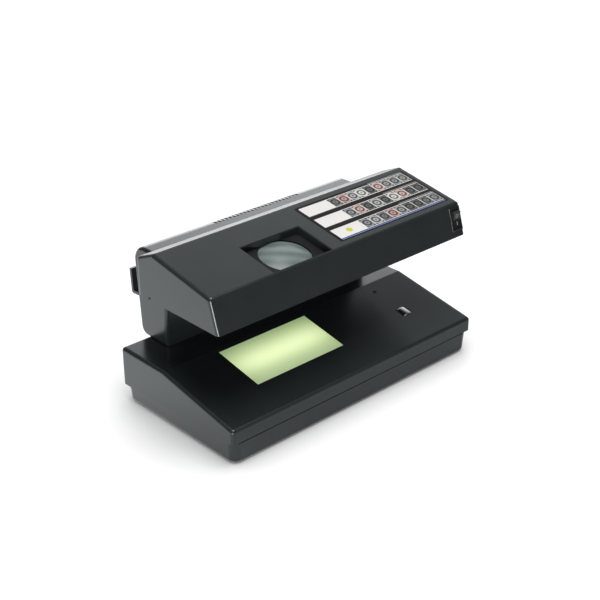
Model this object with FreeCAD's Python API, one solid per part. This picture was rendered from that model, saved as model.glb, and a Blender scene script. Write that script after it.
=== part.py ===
"""Desktop banknote checker: wedge base with a lit window, rear column, and a lamp hood with a magnifier.

Frame: +X to the user's right, +Y to the rear, +Z up, millimetres.
Origin: on the table, at the middle of the overall width and depth.
"""

import FreeCAD
import Part

import math
import os

# Base mouldings
BASE_WIDTH = 266.4
BASE_DEPTH = 137.5
FOOT_HEIGHT = 2.0
TRAY_HEIGHT = 17.7
COVER_FRONT_HEIGHT = 11.8
COVER_REAR_HEIGHT = 28.1
COVER_REAR_FLAT = 54.5
SEAM_DROP = 5.0
SEAM_LEVEL = 6.0
SEAM_GAP = 1.6
WALL = 2.2
EDGE_ROUND = 3.0
TRAY_STEP = 1.6
TRAY_FRONT_STEP = 1.0
TRAY_DRAFT = 0.9
TRAY_CORNER = 7.0
TRAY_BOTTOM_ROUND = 1.5
TRAY_FLOOR = 2.6
LIP_HEIGHT = 2.4
LIP_THICKNESS = 1.5

# Column and cord hooks
COLUMN_STAND = 30.5
COLUMN_X = 4.0
COLUMN_WIDTH = 222.0
COLUMN_DEPTH = 38.1
COLUMN_FRONT_SET = 4.8
COLUMN_LEAN = 4.8
COLUMN_ABOVE_HOOD_FLOOR = 20.1
COLUMN_TOP_ROUND = 13.0
COLUMN_FOOT_ROUND = 8.0
TOP_SLOT_COUNT = 24
TOP_SLOT_X = 12.3
TOP_SLOT_PITCH = 3.9
TOP_SLOT_WIDTH = 1.9
TOP_SLOT_INSET = 7.5
TOP_SLOT_LENGTH = 7.0
REAR_PANEL_SIDE = 26.0
REAR_PANEL_EDGE = 8.0
REAR_PANEL_SCREW_INSET = 5.0
REAR_PANEL_LEDGE = 9.0
VENT_COUNT = 11
VENT_PITCH = 10.0
VENT_WIDTH = 3.0
VENT_INSET = 12.0
HOOK_INSET = 1.0
HOOK_REACH = 9.0
HOOK_THICKNESS = 2.4
HOOK_WIDTH = 16.0
HOOK_HEIGHT = 21.5
HOOK_ABOVE_BASE = 33.0
HOOK_BEND_ROUND = 2.0
HOOK_TENON = 8.0

# Hood mouldings
VIEWING_GAP = 57.9
HOOD_WIDTH = 267.0
HOOD_DEPTH = 95.3
HOOD_FRONT_HEIGHT = 26.8
HOOD_FRONT_LEAN = 8.5
HOOD_RIDGE_HEIGHT = 39.6
HOOD_RIDGE_SETBACK = 20.1
HOOD_REAR_HEIGHT = 31.0
PLATE_THICKNESS = 2.2
PLATE_RECESS = 0.8
NOTCH_FROM_REAR = 16.3
NOTCH_WIDTH = 7.0
NOTCH_HEIGHT = 2.4

# Clearances
FIT = 0.15
LIP_CLEARANCE = 0.3
PLATE_CLEARANCE = 0.25
PIVOT_CLEARANCE = 0.05
HOLE_CLEARANCE = 0.2

# Light window and sensors on the base slope, measured up the slope from its front edge
SENSOR_ROOM = 70.0
WINDOW_WIDTH = 92.0
WINDOW_START = 32.0
WINDOW_CREST_ROOM = 4.6
WINDOW_LEDGE = 3.0
PANEL_THICKNESS = 1.9
PANEL_SINK = 0.1
FRAME_MARGIN = 4.0
FRAME_DEPTH = 1.8
HEAD_FROM_RIGHT = 43.7
HEAD_ALONG = 37.8
HEAD_WIDTH = 10.8
HEAD_LENGTH = 9.8
HEAD_DEPTH = 11.0
HEAD_CROWN = 1.0
HEAD_CROWN_RADIUS = 10.0
COLLAR_RIM = 3.2
COLLAR_DEPTH = 6.0
LED_FROM_RIGHT = 44.8
LED_CREST_ROOM = 12.0
LED_RADIUS = 1.5
LED_FLANGE = 0.4
LED_BODY = 3.4
LED_PROUD = 0.6

# Fluorescent tubes, their sockets and reflectors
TUBE_RADIUS = 8.0
TUBE_GLASS = 0.8
TUBE_CAP = 6.0
PIN_RADIUS = 1.15
PIN_LENGTH = 6.6
PIN_PITCH = 4.75
SOCKET_THICKNESS = 11.0
SOCKET_WIDTH = 17.0
SOCKET_GAP = 0.3
SOCKET_THROAT = 3.3
SHEET = 1.0
LAMP_END_ROOM = 29.5
LAMP_RISE = 18.0
TROUGH_HALF = 22.0
TROUGH_SLANT = 9.0
UV_END_ROOM = 27.5
UV_RISE = 11.4
UV_PITCH = 19.0
UV_REAR_ROOM = 8.0
UV_MARGIN = 2.0
UV_HEADROOM = 2.5
UV_BEVEL = 7.5

# Magnifier well, measured up the hood slope from its front edge
LENS_X = -41.4
LENS_ALONG = 21.6
LENS_WINDOW_WIDTH = 59.0
LENS_WINDOW_LENGTH = 38.0
LENS_SKIRT = 6.0
LENS_SKIRT_WALL = 2.0
LENS_EDGE_CHAMFER = 0.8
LENS_RADIUS = 21.2
LENS_RIM = 2.0
LENS_DOME = 4.6
LENS_SEAT_DROP = 1.2
LENS_LEDGE = 1.2
CARRIER_MARGIN = 1.0
CARRIER_FLOOR = 1.6
TUNNEL_WALL = 1.6
TUNNEL_FRONT = 12.8
TUNNEL_GAP = 0.7

# Printed label on the hood slope
LABEL_FROM_RIGHT = 6.2
LABEL_WIDTH = 124.5
LABEL_START = 6.6
LABEL_LENGTH = 55.5
LABEL_THICKNESS = 0.25

# Rocker switch, measured up the hood's front face from its lower edge
SWITCH_FROM_RIGHT = 8.3
SWITCH_UP = 15.3
BEZEL_WIDTH = 12.6
BEZEL_LENGTH = 20.2
BEZEL_THICKNESS = 1.2
SWITCH_WIDTH = 10.6
SWITCH_LENGTH = 17.0
SWITCH_DEPTH = 10.5
SWITCH_WALL = 1.2
ROCKER_GAP = 0.2
ROCKER_RADIUS = 7.5
ROCKER_HEART = 2.45
ROCKER_FLOOR = 5.0
ROCKER_PIVOT_DEPTH = 1.0
ROCKER_TILT = math.radians(11.0)
TRUNNION_RADIUS = 1.2
TERMINAL_WIDTH = 4.8
TERMINAL_THICKNESS = 0.8
TERMINAL_LENGTH = 7.0

# Screws, bosses, feet and gland
SCREW_RADIUS = 1.45
SCREW_HEAD_RADIUS = 2.9
SCREW_HEAD = 2.2
PILOT_RADIUS = 1.5
SCREW_HOLE_RADIUS = 1.7
BOSS_RADIUS = 4.0
BOSS_WALL = 1.5
BASE_SCREW_INSET = 16.0
BASE_SCREW_SHANK = 16.0
BASE_SCREW_SINK = 5.0
BASE_BOSS_DROP = 4.0
COLUMN_SCREW_X = 78.0
COLUMN_SCREW_Y = (6.5, 18.5)
COLUMN_SCREW_SHANK = 11.0
COLUMN_BOSS_HEIGHT = 13.0
HOOD_SCREW_OUTER = 15.0
HOOD_SCREW_INNER = 62.0
HOOD_SCREW_UP = 11.0
HOOD_SCREW_SHANK = 7.6
HOOD_BOSS_LENGTH = 4.0
PLATE_SCREW_SIDE = 9.0
PLATE_SCREW_FRONT = 42.0
PLATE_SCREW_REAR = 9.0
PLATE_SCREW_SHANK = 10.0
REAR_SCREW_SHANK = 6.0
FOOT_RADIUS = 7.0
FOOT_SINK = 1.0
FOOT_CHAMFER = 0.5
FOOT_SIDE = 34.0
FOOT_END = 20.0
GLAND_FROM_RIGHT = 42.5
GLAND_ABOVE_PARTING = 13.0
GLAND_BORE = 3.25
GLAND_BODY = 5.5
GLAND_FLANGE = 7.5
GLAND_FLANGE_THICKNESS = 1.8
GLAND_LENGTH = 12.0

# Wiring, ventilation and circuit boards
WIRE_HOLE_HALF = 25.0
WIRE_HOLE_Y = (5.0, 17.0)
HOOD_WIRE_HALF = 20.0
HOOD_WIRE_UP = (5.0, 17.0)
LOOM_RADIUS = 2.5
FLOOR_VENT_X = (-60.0, -30.0, 0.0, 30.0, 60.0)
FLOOR_VENT_WIDTH = 3.0
FLOOR_VENT_Y = (20.0, 44.0)
BOARD_THICKNESS = 1.6
BOARD_LIFT = 6.0
POST_RADIUS = 3.0
PEG_RADIUS = 1.3
PEG_STAND = 1.0
POST_INSET = 4.5
DETECTOR_BOARD_RIGHT = 16.5
DETECTOR_BOARD_SIZE = (54.0, 60.0)
DETECTOR_BOARD_FRONT = 24.0
POWER_BOARD_LEFT = 28.5
POWER_BOARD_SIZE = (74.0, 34.0)
POWER_BOARD_REAR = 8.0
BALLAST_BOARD_X = 4.0
BALLAST_BOARD_FRONT = 14.0
BALLAST_BOARD_SIZE = (102.0, 30.0)
BUZZER_RADIUS = 6.0
BUZZER_HEIGHT = 8.0
BUZZER_HOLE = 1.0
BUZZER_INSET = 14.0
CORE_SIZE = (34.0, 22.0, 24.0)
COIL_SIZE = (18.0, 28.0, 16.0)
CHOKE_SIZE = (18.0, 16.0, 11.0)
CHOKE_AT = 24.0
CAPACITOR_AT = (46.0, 60.0)
CAPACITOR_RADIUS = 4.0
CAPACITOR_HEIGHT = 10.0

# Heights above the table
TRAY_BOTTOM_Z = FOOT_HEIGHT
TRAY_FLOOR_Z = TRAY_BOTTOM_Z + TRAY_FLOOR
PARTING_Z = TRAY_BOTTOM_Z + TRAY_HEIGHT
COVER_FRONT_Z = PARTING_Z + COVER_FRONT_HEIGHT
COVER_TOP_Z = PARTING_Z + COVER_REAR_HEIGHT
SEAM_REAR_Z = PARTING_Z - SEAM_DROP
HOOD_BOTTOM_Z = COVER_TOP_Z + VIEWING_GAP
HOOD_FRONT_Z = HOOD_BOTTOM_Z + HOOD_FRONT_HEIGHT
HOOD_RIDGE_Z = HOOD_BOTTOM_Z + HOOD_RIDGE_HEIGHT
HOOD_REAR_Z = HOOD_BOTTOM_Z + HOOD_REAR_HEIGHT
COLUMN_TOP_Z = HOOD_BOTTOM_Z + COLUMN_ABOVE_HOOD_FLOOR
PLATE_Z = HOOD_BOTTOM_Z + PLATE_RECESS
PLATE_TOP_Z = PLATE_Z + PLATE_THICKNESS
PLATE_BOSS_Z = PLATE_TOP_Z + SCREW_HEAD
BASE_BOSS_Z = PARTING_Z - BASE_BOSS_DROP
BASE_SCREW_Z = TRAY_BOTTOM_Z + BASE_SCREW_SINK
LAMP_Z = TRAY_FLOOR_Z + LAMP_RISE
UV_Z = PLATE_TOP_Z + UV_RISE
GLAND_Z = PARTING_Z + GLAND_ABOVE_PARTING

# Angles of the sloping faces
COVER_SLOPE_RUN = BASE_DEPTH - COVER_REAR_FLAT
BASE_SLOPE = math.atan2(COVER_TOP_Z - COVER_FRONT_Z, COVER_SLOPE_RUN)
HOOD_SLOPE = math.atan2(HOOD_RIDGE_Z - HOOD_FRONT_Z, HOOD_DEPTH - HOOD_FRONT_LEAN - HOOD_RIDGE_SETBACK)
FRONT_LEAN = math.atan2(HOOD_FRONT_LEAN, HOOD_FRONT_HEIGHT)
COLUMN_TILT = math.atan2(COLUMN_LEAN, COLUMN_TOP_Z - COVER_TOP_Z)

# Places up the base slope
SLOPE_LENGTH = COVER_SLOPE_RUN / math.cos(BASE_SLOPE)
WINDOW_END = SLOPE_LENGTH - WINDOW_CREST_ROOM
LED_ALONG = SLOPE_LENGTH - LED_CREST_ROOM

# Places along the depth, from the front of the base to the rear of the cord hooks
HOOK_TOP = HOOK_ABOVE_BASE + HOOK_HEIGHT
OVERALL_DEPTH = (BASE_DEPTH - COLUMN_STAND + COLUMN_DEPTH
                 + HOOK_TOP * math.sin(COLUMN_TILT) + HOOK_REACH * math.cos(COLUMN_TILT))
FRONT_Y = -OVERALL_DEPTH / 2
BASE_REAR_Y = FRONT_Y + BASE_DEPTH
BASE_MID_Y = FRONT_Y + BASE_DEPTH / 2
HOOD_REAR_Y = BASE_REAR_Y - COLUMN_STAND
HOOD_FRONT_Y = HOOD_REAR_Y - HOOD_DEPTH
HOOD_BROW_Y = HOOD_FRONT_Y + HOOD_FRONT_LEAN
HOOD_RIDGE_Y = HOOD_REAR_Y - HOOD_RIDGE_SETBACK
COLUMN_FOOT_Y = HOOD_REAR_Y + COLUMN_FRONT_SET
COLUMN_REAR_Y = HOOD_REAR_Y + COLUMN_DEPTH
COLUMN_CREST_Y = COLUMN_REAR_Y + COLUMN_LEAN
LAMP_Y = FRONT_Y + (WINDOW_START + WINDOW_END) / 2 * math.cos(BASE_SLOPE)
UV_MID_Y = HOOD_REAR_Y - UV_REAR_ROOM - UV_MARGIN - TUBE_RADIUS - UV_PITCH / 2

# Places and lengths across the width: the window and its lamp share the room left of the sensors
LAMP_ROOM = BASE_WIDTH - SENSOR_ROOM
WINDOW_X = (LAMP_ROOM - BASE_WIDTH) / 2
LAMP_LENGTH = LAMP_ROOM - 2 * LAMP_END_ROOM
UV_LENGTH = HOOD_WIDTH - 2 * UV_END_ROOM
HEAD_X = BASE_WIDTH / 2 - HEAD_FROM_RIGHT
LED_X = BASE_WIDTH / 2 - LED_FROM_RIGHT
GLAND_X = BASE_WIDTH / 2 - GLAND_FROM_RIGHT
SWITCH_X = HOOD_WIDTH / 2 - SWITCH_FROM_RIGHT
LABEL_X = HOOD_WIDTH / 2 - LABEL_FROM_RIGHT - LABEL_WIDTH / 2

# Outlines of the three mouldings in the YZ plane
COVER_OUTLINE = [
    (FRONT_Y, PARTING_Z),
    (FRONT_Y, COVER_FRONT_Z),
    (FRONT_Y + COVER_SLOPE_RUN, COVER_TOP_Z),
    (BASE_REAR_Y, COVER_TOP_Z),
    (BASE_REAR_Y, SEAM_REAR_Z),
]
SEAM = [(FRONT_Y, PARTING_Z), (FRONT_Y + SEAM_LEVEL, PARTING_Z), (BASE_REAR_Y, SEAM_REAR_Z)]
COLUMN_OUTLINE = [
    (COLUMN_FOOT_Y, COVER_TOP_Z),
    (HOOD_REAR_Y, HOOD_BOTTOM_Z),
    (HOOD_REAR_Y, COLUMN_TOP_Z),
    (COLUMN_CREST_Y, COLUMN_TOP_Z),
    (COLUMN_REAR_Y, COVER_TOP_Z),
]
HOOD_OUTLINE = [
    (HOOD_FRONT_Y, HOOD_BOTTOM_Z),
    (HOOD_BROW_Y, HOOD_FRONT_Z),
    (HOOD_RIDGE_Y, HOOD_RIDGE_Z),
    (HOOD_REAR_Y, HOOD_REAR_Z),
    (HOOD_REAR_Y, HOOD_BOTTOM_Z),
]


def vec(x, y, z):
    return FreeCAD.Vector(x, y, z)


X_AXIS = vec(1, 0, 0)
Y_AXIS = vec(0, 1, 0)
Z_AXIS = vec(0, 0, 1)


# Small helpers
def span(centre, size):
    return (centre - size / 2, centre + size / 2)


def grown(pair, margin):
    return (pair[0] - margin, pair[1] + margin)


def shifted(pair, offset):
    return (pair[0] + offset, pair[1] + offset)


def same(a, b):
    return abs(a - b) < 1e-4


def corners(half_x, near_y, far_y):
    """Four (x, y) places, mirrored left and right."""
    return [(side * half_x, y) for y in (near_y, far_y) for side in (-1, 1)]


def box(x, y, z):
    """A box from three (low, high) pairs."""
    return Part.makeBox(x[1] - x[0], y[1] - y[0], z[1] - z[0], vec(x[0], y[0], z[0]))


def rod(radius, start, axis, length):
    """A round rod of that length from a start point along an axis."""
    return Part.makeCylinder(radius, length, start, axis)


def face_yz(points, x):
    """A flat face in a YZ plane from its corner points."""
    ring = [vec(x, y, z) for y, z in points]
    return Part.Face(Part.makePolygon(ring + ring[:1]))


def prism(points, width):
    """A YZ outline carried along X, centred on X = 0."""
    return face_yz(points, -width / 2).extrude(vec(width, 0, 0))


def inset_prism(points, inset, width):
    """The same prism with its outline moved in by a wall thickness."""
    return face_yz(points, -width / 2).makeOffset2D(-inset, 2).extrude(vec(width, 0, 0))


def opened_below(outline, drop):
    """An outline with its end corners carried down along their walls, for a shell with no floor."""
    (y0, z0), (y1, z1) = outline[0], outline[1]
    (y2, z2), (y3, z3) = outline[-2], outline[-1]
    low_front = (y0 + (y0 - y1) / (z1 - z0) * drop, z0 - drop)
    low_rear = (y3 + (y3 - y2) / (z2 - z3) * drop, z3 - drop)
    return [low_front] + outline[1:-1] + [low_rear]


def rounded(shape, radius, wanted):
    """Rounds the edges whose two end points satisfy the test."""
    chosen = []
    for edge in shape.Edges:
        ends = [vertex.Point for vertex in edge.Vertexes]
        if len(ends) == 2 and wanted(ends[0], ends[1]):
            chosen.append(edge)
    return shape.makeFillet(radius, chosen)


def at_height(z):
    return lambda a, b: same(a.z, z) and same(b.z, z)


def rising_above(z):
    return lambda a, b: not same(max(a.z, b.z, z), z)


def upright(a, b):
    return not same(a.z, b.z)


def along_x_at(y, z):
    return lambda a, b: same(a.y, y) and same(b.y, y) and same(a.z, z) and same(b.z, z)


def fused(shapes):
    return shapes[0].multiFuse(shapes[1:]).removeSplitter()


def trimmed(shape, removals):
    return shape.cut(Part.makeCompound(removals)).removeSplitter()


# Face coordinates: X across, Y up the sloping face, Z out of it
def placed(shape, y, z, angle):
    moved = shape.copy()
    to_face = FreeCAD.Placement(vec(0, y, z), FreeCAD.Rotation(X_AXIS, math.degrees(angle)))
    moved.Placement = to_face.multiply(shape.Placement)
    return moved


def on_base_slope(shape):
    return placed(shape, FRONT_Y, COVER_FRONT_Z, BASE_SLOPE)


def on_hood_slope(shape):
    return placed(shape, HOOD_BROW_Y, HOOD_FRONT_Z, HOOD_SLOPE)


def on_hood_front(shape):
    return placed(shape, HOOD_FRONT_Y, HOOD_BOTTOM_Z, math.pi / 2 - FRONT_LEAN)


def on_column_rear(shape):
    """As the others, but here Z points into the column."""
    return placed(shape, COLUMN_REAR_Y, COVER_TOP_Z, math.pi / 2 - COLUMN_TILT)


# Forms that several pieces share
def screw(seat, axis, shank):
    """Pan-head screw: its head lies behind the seat point, and its shank runs along the axis from there."""
    head = rod(SCREW_HEAD_RADIUS, seat - axis * SCREW_HEAD, axis, SCREW_HEAD)
    return head.fuse(rod(SCREW_RADIUS, seat, axis, shank)).removeSplitter()


def sunk_boss(x, y, low, seat, top):
    """A boss and its two bores: a screw head sinks in from below up to the seat."""
    body = rod(SCREW_HEAD_RADIUS + HOLE_CLEARANCE + BOSS_WALL, vec(x, y, low), Z_AXIS, top - low)
    head_bore = rod(SCREW_HEAD_RADIUS + HOLE_CLEARANCE, vec(x, y, low - WALL), Z_AXIS, seat - low + WALL)
    shank_bore = rod(SCREW_HOLE_RADIUS, vec(x, y, low), Z_AXIS, top - low + WALL)
    return body, [head_bore.fuse(shank_bore)]


def framed_opening(shell, place, across, along, outward, ledge):
    """Adds a rim behind a wall and cuts a stepped opening in it, so that a panel drops in flush.

    across and along are the panel's seat in face coordinates; outward is +1 or -1 along face Z."""
    def layer(margin, near, far):
        depth = tuple(sorted((outward * near, outward * far)))
        return place(box(grown(across, margin), grown(along, margin), depth))

    rim = layer(FRAME_MARGIN, -WALL - FRAME_DEPTH, -WALL / 2)
    seat = layer(0, -PANEL_THICKNESS - PANEL_SINK, WALL)
    through = layer(-ledge, -WALL - 2 * FRAME_DEPTH, WALL)
    return shell.fuse(rim).cut(seat).cut(through).removeSplitter()


def inlaid_panel(place, across, along, outward):
    """The panel that drops into a framed opening."""
    depth = tuple(sorted((outward * -(PANEL_THICKNESS + PANEL_SINK), outward * -PANEL_SINK)))
    return place(box(grown(across, -FIT), grown(along, -FIT), depth))


def board(x_low, y_low, size, floor):
    """A circuit board's place: x span, y span, underside and the floor that its posts stand on."""
    return ((x_low, x_low + size[0]), (y_low, y_low + size[1]), floor + BOARD_LIFT, floor)


def board_corners(place):
    across, along = grown(place[0], -POST_INSET), grown(place[1], -POST_INSET)
    return [(x, y) for x in across for y in along]


def board_posts(place):
    """Stepped posts under a board: a shoulder that it rests on and a peg through its hole."""
    posts = []
    for x, y in board_corners(place):
        foot = vec(x, y, place[3] - PEG_STAND)
        posts.append(rod(POST_RADIUS, foot, Z_AXIS, BOARD_LIFT + PEG_STAND))
        posts.append(rod(PEG_RADIUS, foot, Z_AXIS, BOARD_LIFT + BOARD_THICKNESS + 2 * PEG_STAND))
    return posts


def board_plate(place):
    """A circuit board with a hole for each peg."""
    low, high = place[2], place[2] + BOARD_THICKNESS
    holes = [rod(PEG_RADIUS + FIT, vec(x, y, low), Z_AXIS, BOARD_THICKNESS) for x, y in board_corners(place)]
    return trimmed(box(place[0], place[1], (low, high)), holes)


DETECTOR = board(BASE_WIDTH / 2 - DETECTOR_BOARD_RIGHT - DETECTOR_BOARD_SIZE[0],
                 FRONT_Y + DETECTOR_BOARD_FRONT, DETECTOR_BOARD_SIZE, TRAY_FLOOR_Z)
POWER = board(POWER_BOARD_LEFT - BASE_WIDTH / 2, BASE_REAR_Y - POWER_BOARD_REAR - POWER_BOARD_SIZE[1],
              POWER_BOARD_SIZE, TRAY_FLOOR_Z)
BALLAST = board(BALLAST_BOARD_X, HOOD_FRONT_Y + BALLAST_BOARD_FRONT, BALLAST_BOARD_SIZE, PLATE_TOP_Z)

# Screw and foot places that two pieces share
BASE_SCREWS = corners(BASE_WIDTH / 2 - BASE_SCREW_INSET, FRONT_Y + BASE_SCREW_INSET,
                      BASE_REAR_Y - BASE_SCREW_INSET)
FEET = corners(BASE_WIDTH / 2 - FOOT_SIDE, FRONT_Y + FOOT_END, BASE_REAR_Y - FOOT_END)
COLUMN_SCREWS = corners(COLUMN_SCREW_X, *shifted(COLUMN_SCREW_Y, COLUMN_FOOT_Y))
HOOD_SCREWS = [(COLUMN_X + side * (COLUMN_WIDTH / 2 - inset), HOOD_BOTTOM_Z + HOOD_SCREW_UP)
               for inset in (HOOD_SCREW_OUTER, HOOD_SCREW_INNER) for side in (-1, 1)]
PLATE_SCREWS = corners(HOOD_WIDTH / 2 - PLATE_SCREW_SIDE, HOOD_FRONT_Y + PLATE_SCREW_FRONT,
                       HOOD_REAR_Y - PLATE_SCREW_REAR)
COLUMN_WIRE_Y = shifted(WIRE_HOLE_Y, COLUMN_FOOT_Y)
HOOD_WIRE_Z = shifted(HOOD_WIRE_UP, HOOD_BOTTOM_Z)


# Base
def seam_layer(low, high):
    """The layer between two offsets from the seam of the base, which falls towards the rear."""
    below = [(y, z + low) for y, z in SEAM]
    above = [(y, z + high) for y, z in SEAM]
    return prism(below + above[::-1], BASE_WIDTH)


def base_tray():
    """Lower shell: drafted walls up to the seam, a locating lip, screw bosses, vents and board posts."""
    across = span(0, BASE_WIDTH - 2 * TRAY_STEP)
    along = (FRONT_Y + TRAY_FRONT_STEP, BASE_REAR_Y - TRAY_STEP)

    def trapezoid(limits, z_low, wall):
        near, far = grown(limits, -wall)
        draft = TRAY_DRAFT * (PARTING_Z - z_low) / TRAY_HEIGHT
        return [(near, PARTING_Z), (far, PARTING_Z), (far - draft, z_low), (near + draft, z_low)]

    def frustum(z_low, wall):
        """Four walls that lean in towards the floor: the front outline crossed with the side one."""
        front_view = prism(trapezoid(across, z_low, wall), 2 * BASE_DEPTH)
        front_view.rotate(vec(0, 0, 0), Z_AXIS, 90)
        solid = prism(trapezoid(along, z_low, wall), BASE_WIDTH).common(front_view)
        return rounded(solid, TRAY_CORNER - wall, upright)

    outer = rounded(frustum(TRAY_BOTTOM_Z, 0), TRAY_BOTTOM_ROUND, at_height(TRAY_BOTTOM_Z))
    tray = outer.cut(frustum(TRAY_FLOOR_Z, WALL)).cut(seam_layer(-SEAM_GAP, TRAY_HEIGHT))

    lip_blocks = []
    for margin in (WALL + LIP_CLEARANCE, WALL + LIP_CLEARANCE + LIP_THICKNESS):
        block = box(span(0, BASE_WIDTH - 2 * margin), span(BASE_MID_Y, BASE_DEPTH - 2 * margin),
                    span(PARTING_Z, 2 * TRAY_HEIGHT))
        lip_blocks.append(rounded(block, TRAY_CORNER - margin, upright))
    additions = [lip_blocks[0].cut(lip_blocks[1]).common(seam_layer(-SEAM_GAP - WALL, LIP_HEIGHT))]
    removals = []
    for x, y in BASE_SCREWS:
        body, bores = sunk_boss(x, y, TRAY_BOTTOM_Z, BASE_SCREW_Z, BASE_BOSS_Z)
        additions.append(body)
        removals.extend(bores)
    for x, y in FEET:
        removals.append(rod(FOOT_RADIUS + HOLE_CLEARANCE, vec(x, y, 0), Z_AXIS, TRAY_BOTTOM_Z + FOOT_SINK))
    for x in FLOOR_VENT_X:
        slot_y = (BASE_REAR_Y - FLOOR_VENT_Y[1], BASE_REAR_Y - FLOOR_VENT_Y[0])
        removals.append(box(span(x, FLOOR_VENT_WIDTH), slot_y, (0, TRAY_FLOOR_Z)))
    additions.extend(board_posts(DETECTOR) + board_posts(POWER))
    return trimmed(fused([tray] + additions), removals)


def base_cover():
    """Upper shell: wedge body down to the falling seam, with the light window and the column's seat."""
    skin = opened_below(COVER_OUTLINE, TRAY_HEIGHT)
    block = rounded(prism(COVER_OUTLINE + SEAM[1:2], BASE_WIDTH), EDGE_ROUND, rising_above(PARTING_Z))
    shell = block.cut(inset_prism(skin, WALL, BASE_WIDTH - 2 * WALL))

    inside = inset_prism(skin, WALL / 2, BASE_WIDTH - WALL)
    posts = []
    removals = []
    for x, y in BASE_SCREWS:
        posts.append(rod(BOSS_RADIUS, vec(x, y, BASE_BOSS_Z), Z_AXIS, COVER_TOP_Z).common(inside))
        removals.append(rod(PILOT_RADIUS, vec(x, y, BASE_BOSS_Z), Z_AXIS, BASE_SCREW_SHANK - BASE_SCREW_SINK))
    shell = framed_opening(fused([shell] + posts), on_base_slope, span(WINDOW_X, WINDOW_WIDTH),
                           (WINDOW_START, WINDOW_END), 1, WINDOW_LEDGE)
    slot = box(grown(span(HEAD_X, HEAD_WIDTH), FIT), grown(span(HEAD_ALONG, HEAD_LENGTH), FIT),
               (-2 * WALL, WALL))
    lamp_hole = rod(LED_RADIUS + FIT / 2, vec(LED_X, LED_ALONG, -2 * WALL), Z_AXIS, 4 * WALL)
    removals.extend([on_base_slope(slot), on_base_slope(lamp_hole)])
    removals.append(box(span(0, 2 * WIRE_HOLE_HALF), COLUMN_WIRE_Y, span(COVER_TOP_Z, 4 * WALL)))
    for x, y in COLUMN_SCREWS:
        removals.append(rod(SCREW_HOLE_RADIUS, vec(x, y, COVER_TOP_Z - 2 * WALL), Z_AXIS, 4 * WALL))
    removals.append(rod(GLAND_BODY + FIT, vec(GLAND_X, BASE_REAR_Y - 2 * WALL, GLAND_Z), Y_AXIS, 4 * WALL))
    return trimmed(shell, removals)


def rubber_feet():
    feet = []
    for x, y in FEET:
        disc = rod(FOOT_RADIUS, vec(x, y, 0), Z_AXIS, FOOT_HEIGHT + FOOT_SINK)
        floor_edge = [edge for edge in disc.Edges if same(edge.BoundBox.ZMax, 0)]
        feet.append(disc.makeChamfer(FOOT_CHAMFER, floor_edge))
    return Part.makeCompound(feet)


def base_screws():
    return Part.makeCompound([screw(vec(x, y, BASE_SCREW_Z), Z_AXIS, BASE_SCREW_SHANK)
                              for x, y in BASE_SCREWS])


def light_window():
    """Opal diffuser over the watermark lamp."""
    return inlaid_panel(on_base_slope, span(WINDOW_X, WINDOW_WIDTH), (WINDOW_START, WINDOW_END), 1)


# Fluorescent tubes: middle x, y, z and length between the cap faces
LAMP = (WINDOW_X, LAMP_Y, LAMP_Z, LAMP_LENGTH)
UV_LAMPS = [(0, y, UV_Z, UV_LENGTH) for y in span(UV_MID_Y, UV_PITCH)]


def tube_glass(mid_x, y, z, length):
    """Glass of a tube, between its end caps."""
    glass = length - 2 * TUBE_CAP
    start = vec(mid_x - glass / 2, y, z)
    return rod(TUBE_RADIUS, start, X_AXIS, glass).cut(rod(TUBE_RADIUS - TUBE_GLASS, start, X_AXIS, glass))


def tube_caps(mid_x, y, z, length):
    """Metal end caps with two contact pins each."""
    caps = []
    for side in (-1, 1):
        axis = X_AXIS * side
        end = mid_x + side * length / 2
        cap = rod(TUBE_RADIUS, vec(end - side * TUBE_CAP, y, z), axis, TUBE_CAP)
        pins = [rod(PIN_RADIUS, vec(end, pin_y, z), axis, PIN_LENGTH) for pin_y in span(y, PIN_PITCH)]
        caps.append(fused([cap] + pins))
    return caps


def tube_sockets(mid_x, y, z, length, floor):
    """Upright sockets with an arched head, a pocket for the pins and a throat that the tube drops in by."""
    sockets = []
    for side in (-1, 1):
        near = mid_x + side * (length / 2 + SOCKET_GAP)
        across = tuple(sorted((near, near + side * SOCKET_THICKNESS)))
        reach = tuple(sorted((near, near + side * (PIN_LENGTH + HOLE_CLEARANCE))))
        block = box(across, span(y, SOCKET_WIDTH), (floor, z))
        head = rod(SOCKET_WIDTH / 2, vec(across[0], y, z), X_AXIS, SOCKET_THICKNESS)
        pocket = rod(PIN_PITCH / 2 + PIN_RADIUS + HOLE_CLEARANCE, vec(reach[0], y, z), X_AXIS,
                     reach[1] - reach[0])
        throat = box(reach, span(y, SOCKET_THROAT), (z, z + SOCKET_WIDTH))
        sockets.append(trimmed(block.fuse(head), [pocket.fuse(throat)]))
    return sockets


def watermark_lamp():
    return tube_glass(*LAMP)


def watermark_lamp_caps():
    return Part.makeCompound(tube_caps(*LAMP))


def watermark_lampholders():
    return Part.makeCompound(tube_sockets(*LAMP, TRAY_FLOOR_Z))


def watermark_reflector():
    """Folded white trough under the watermark lamp."""
    low, high = TRAY_FLOOR_Z, LAMP_Z
    width = LAMP_LENGTH - 2 * TUBE_CAP
    outer = [(-TROUGH_HALF, high), (TROUGH_SLANT - TROUGH_HALF, low), (TROUGH_HALF - TROUGH_SLANT, low),
             (TROUGH_HALF, high)]
    flipped = [(y, -z) for y, z in outer]
    inner = [(y, -z) for y, z in opened_below(flipped, LAMP_RISE)]
    trough = prism(outer, width).cut(inset_prism(inner, SHEET, width))
    return trough.translated(vec(WINDOW_X, LAMP_Y, 0))


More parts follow.
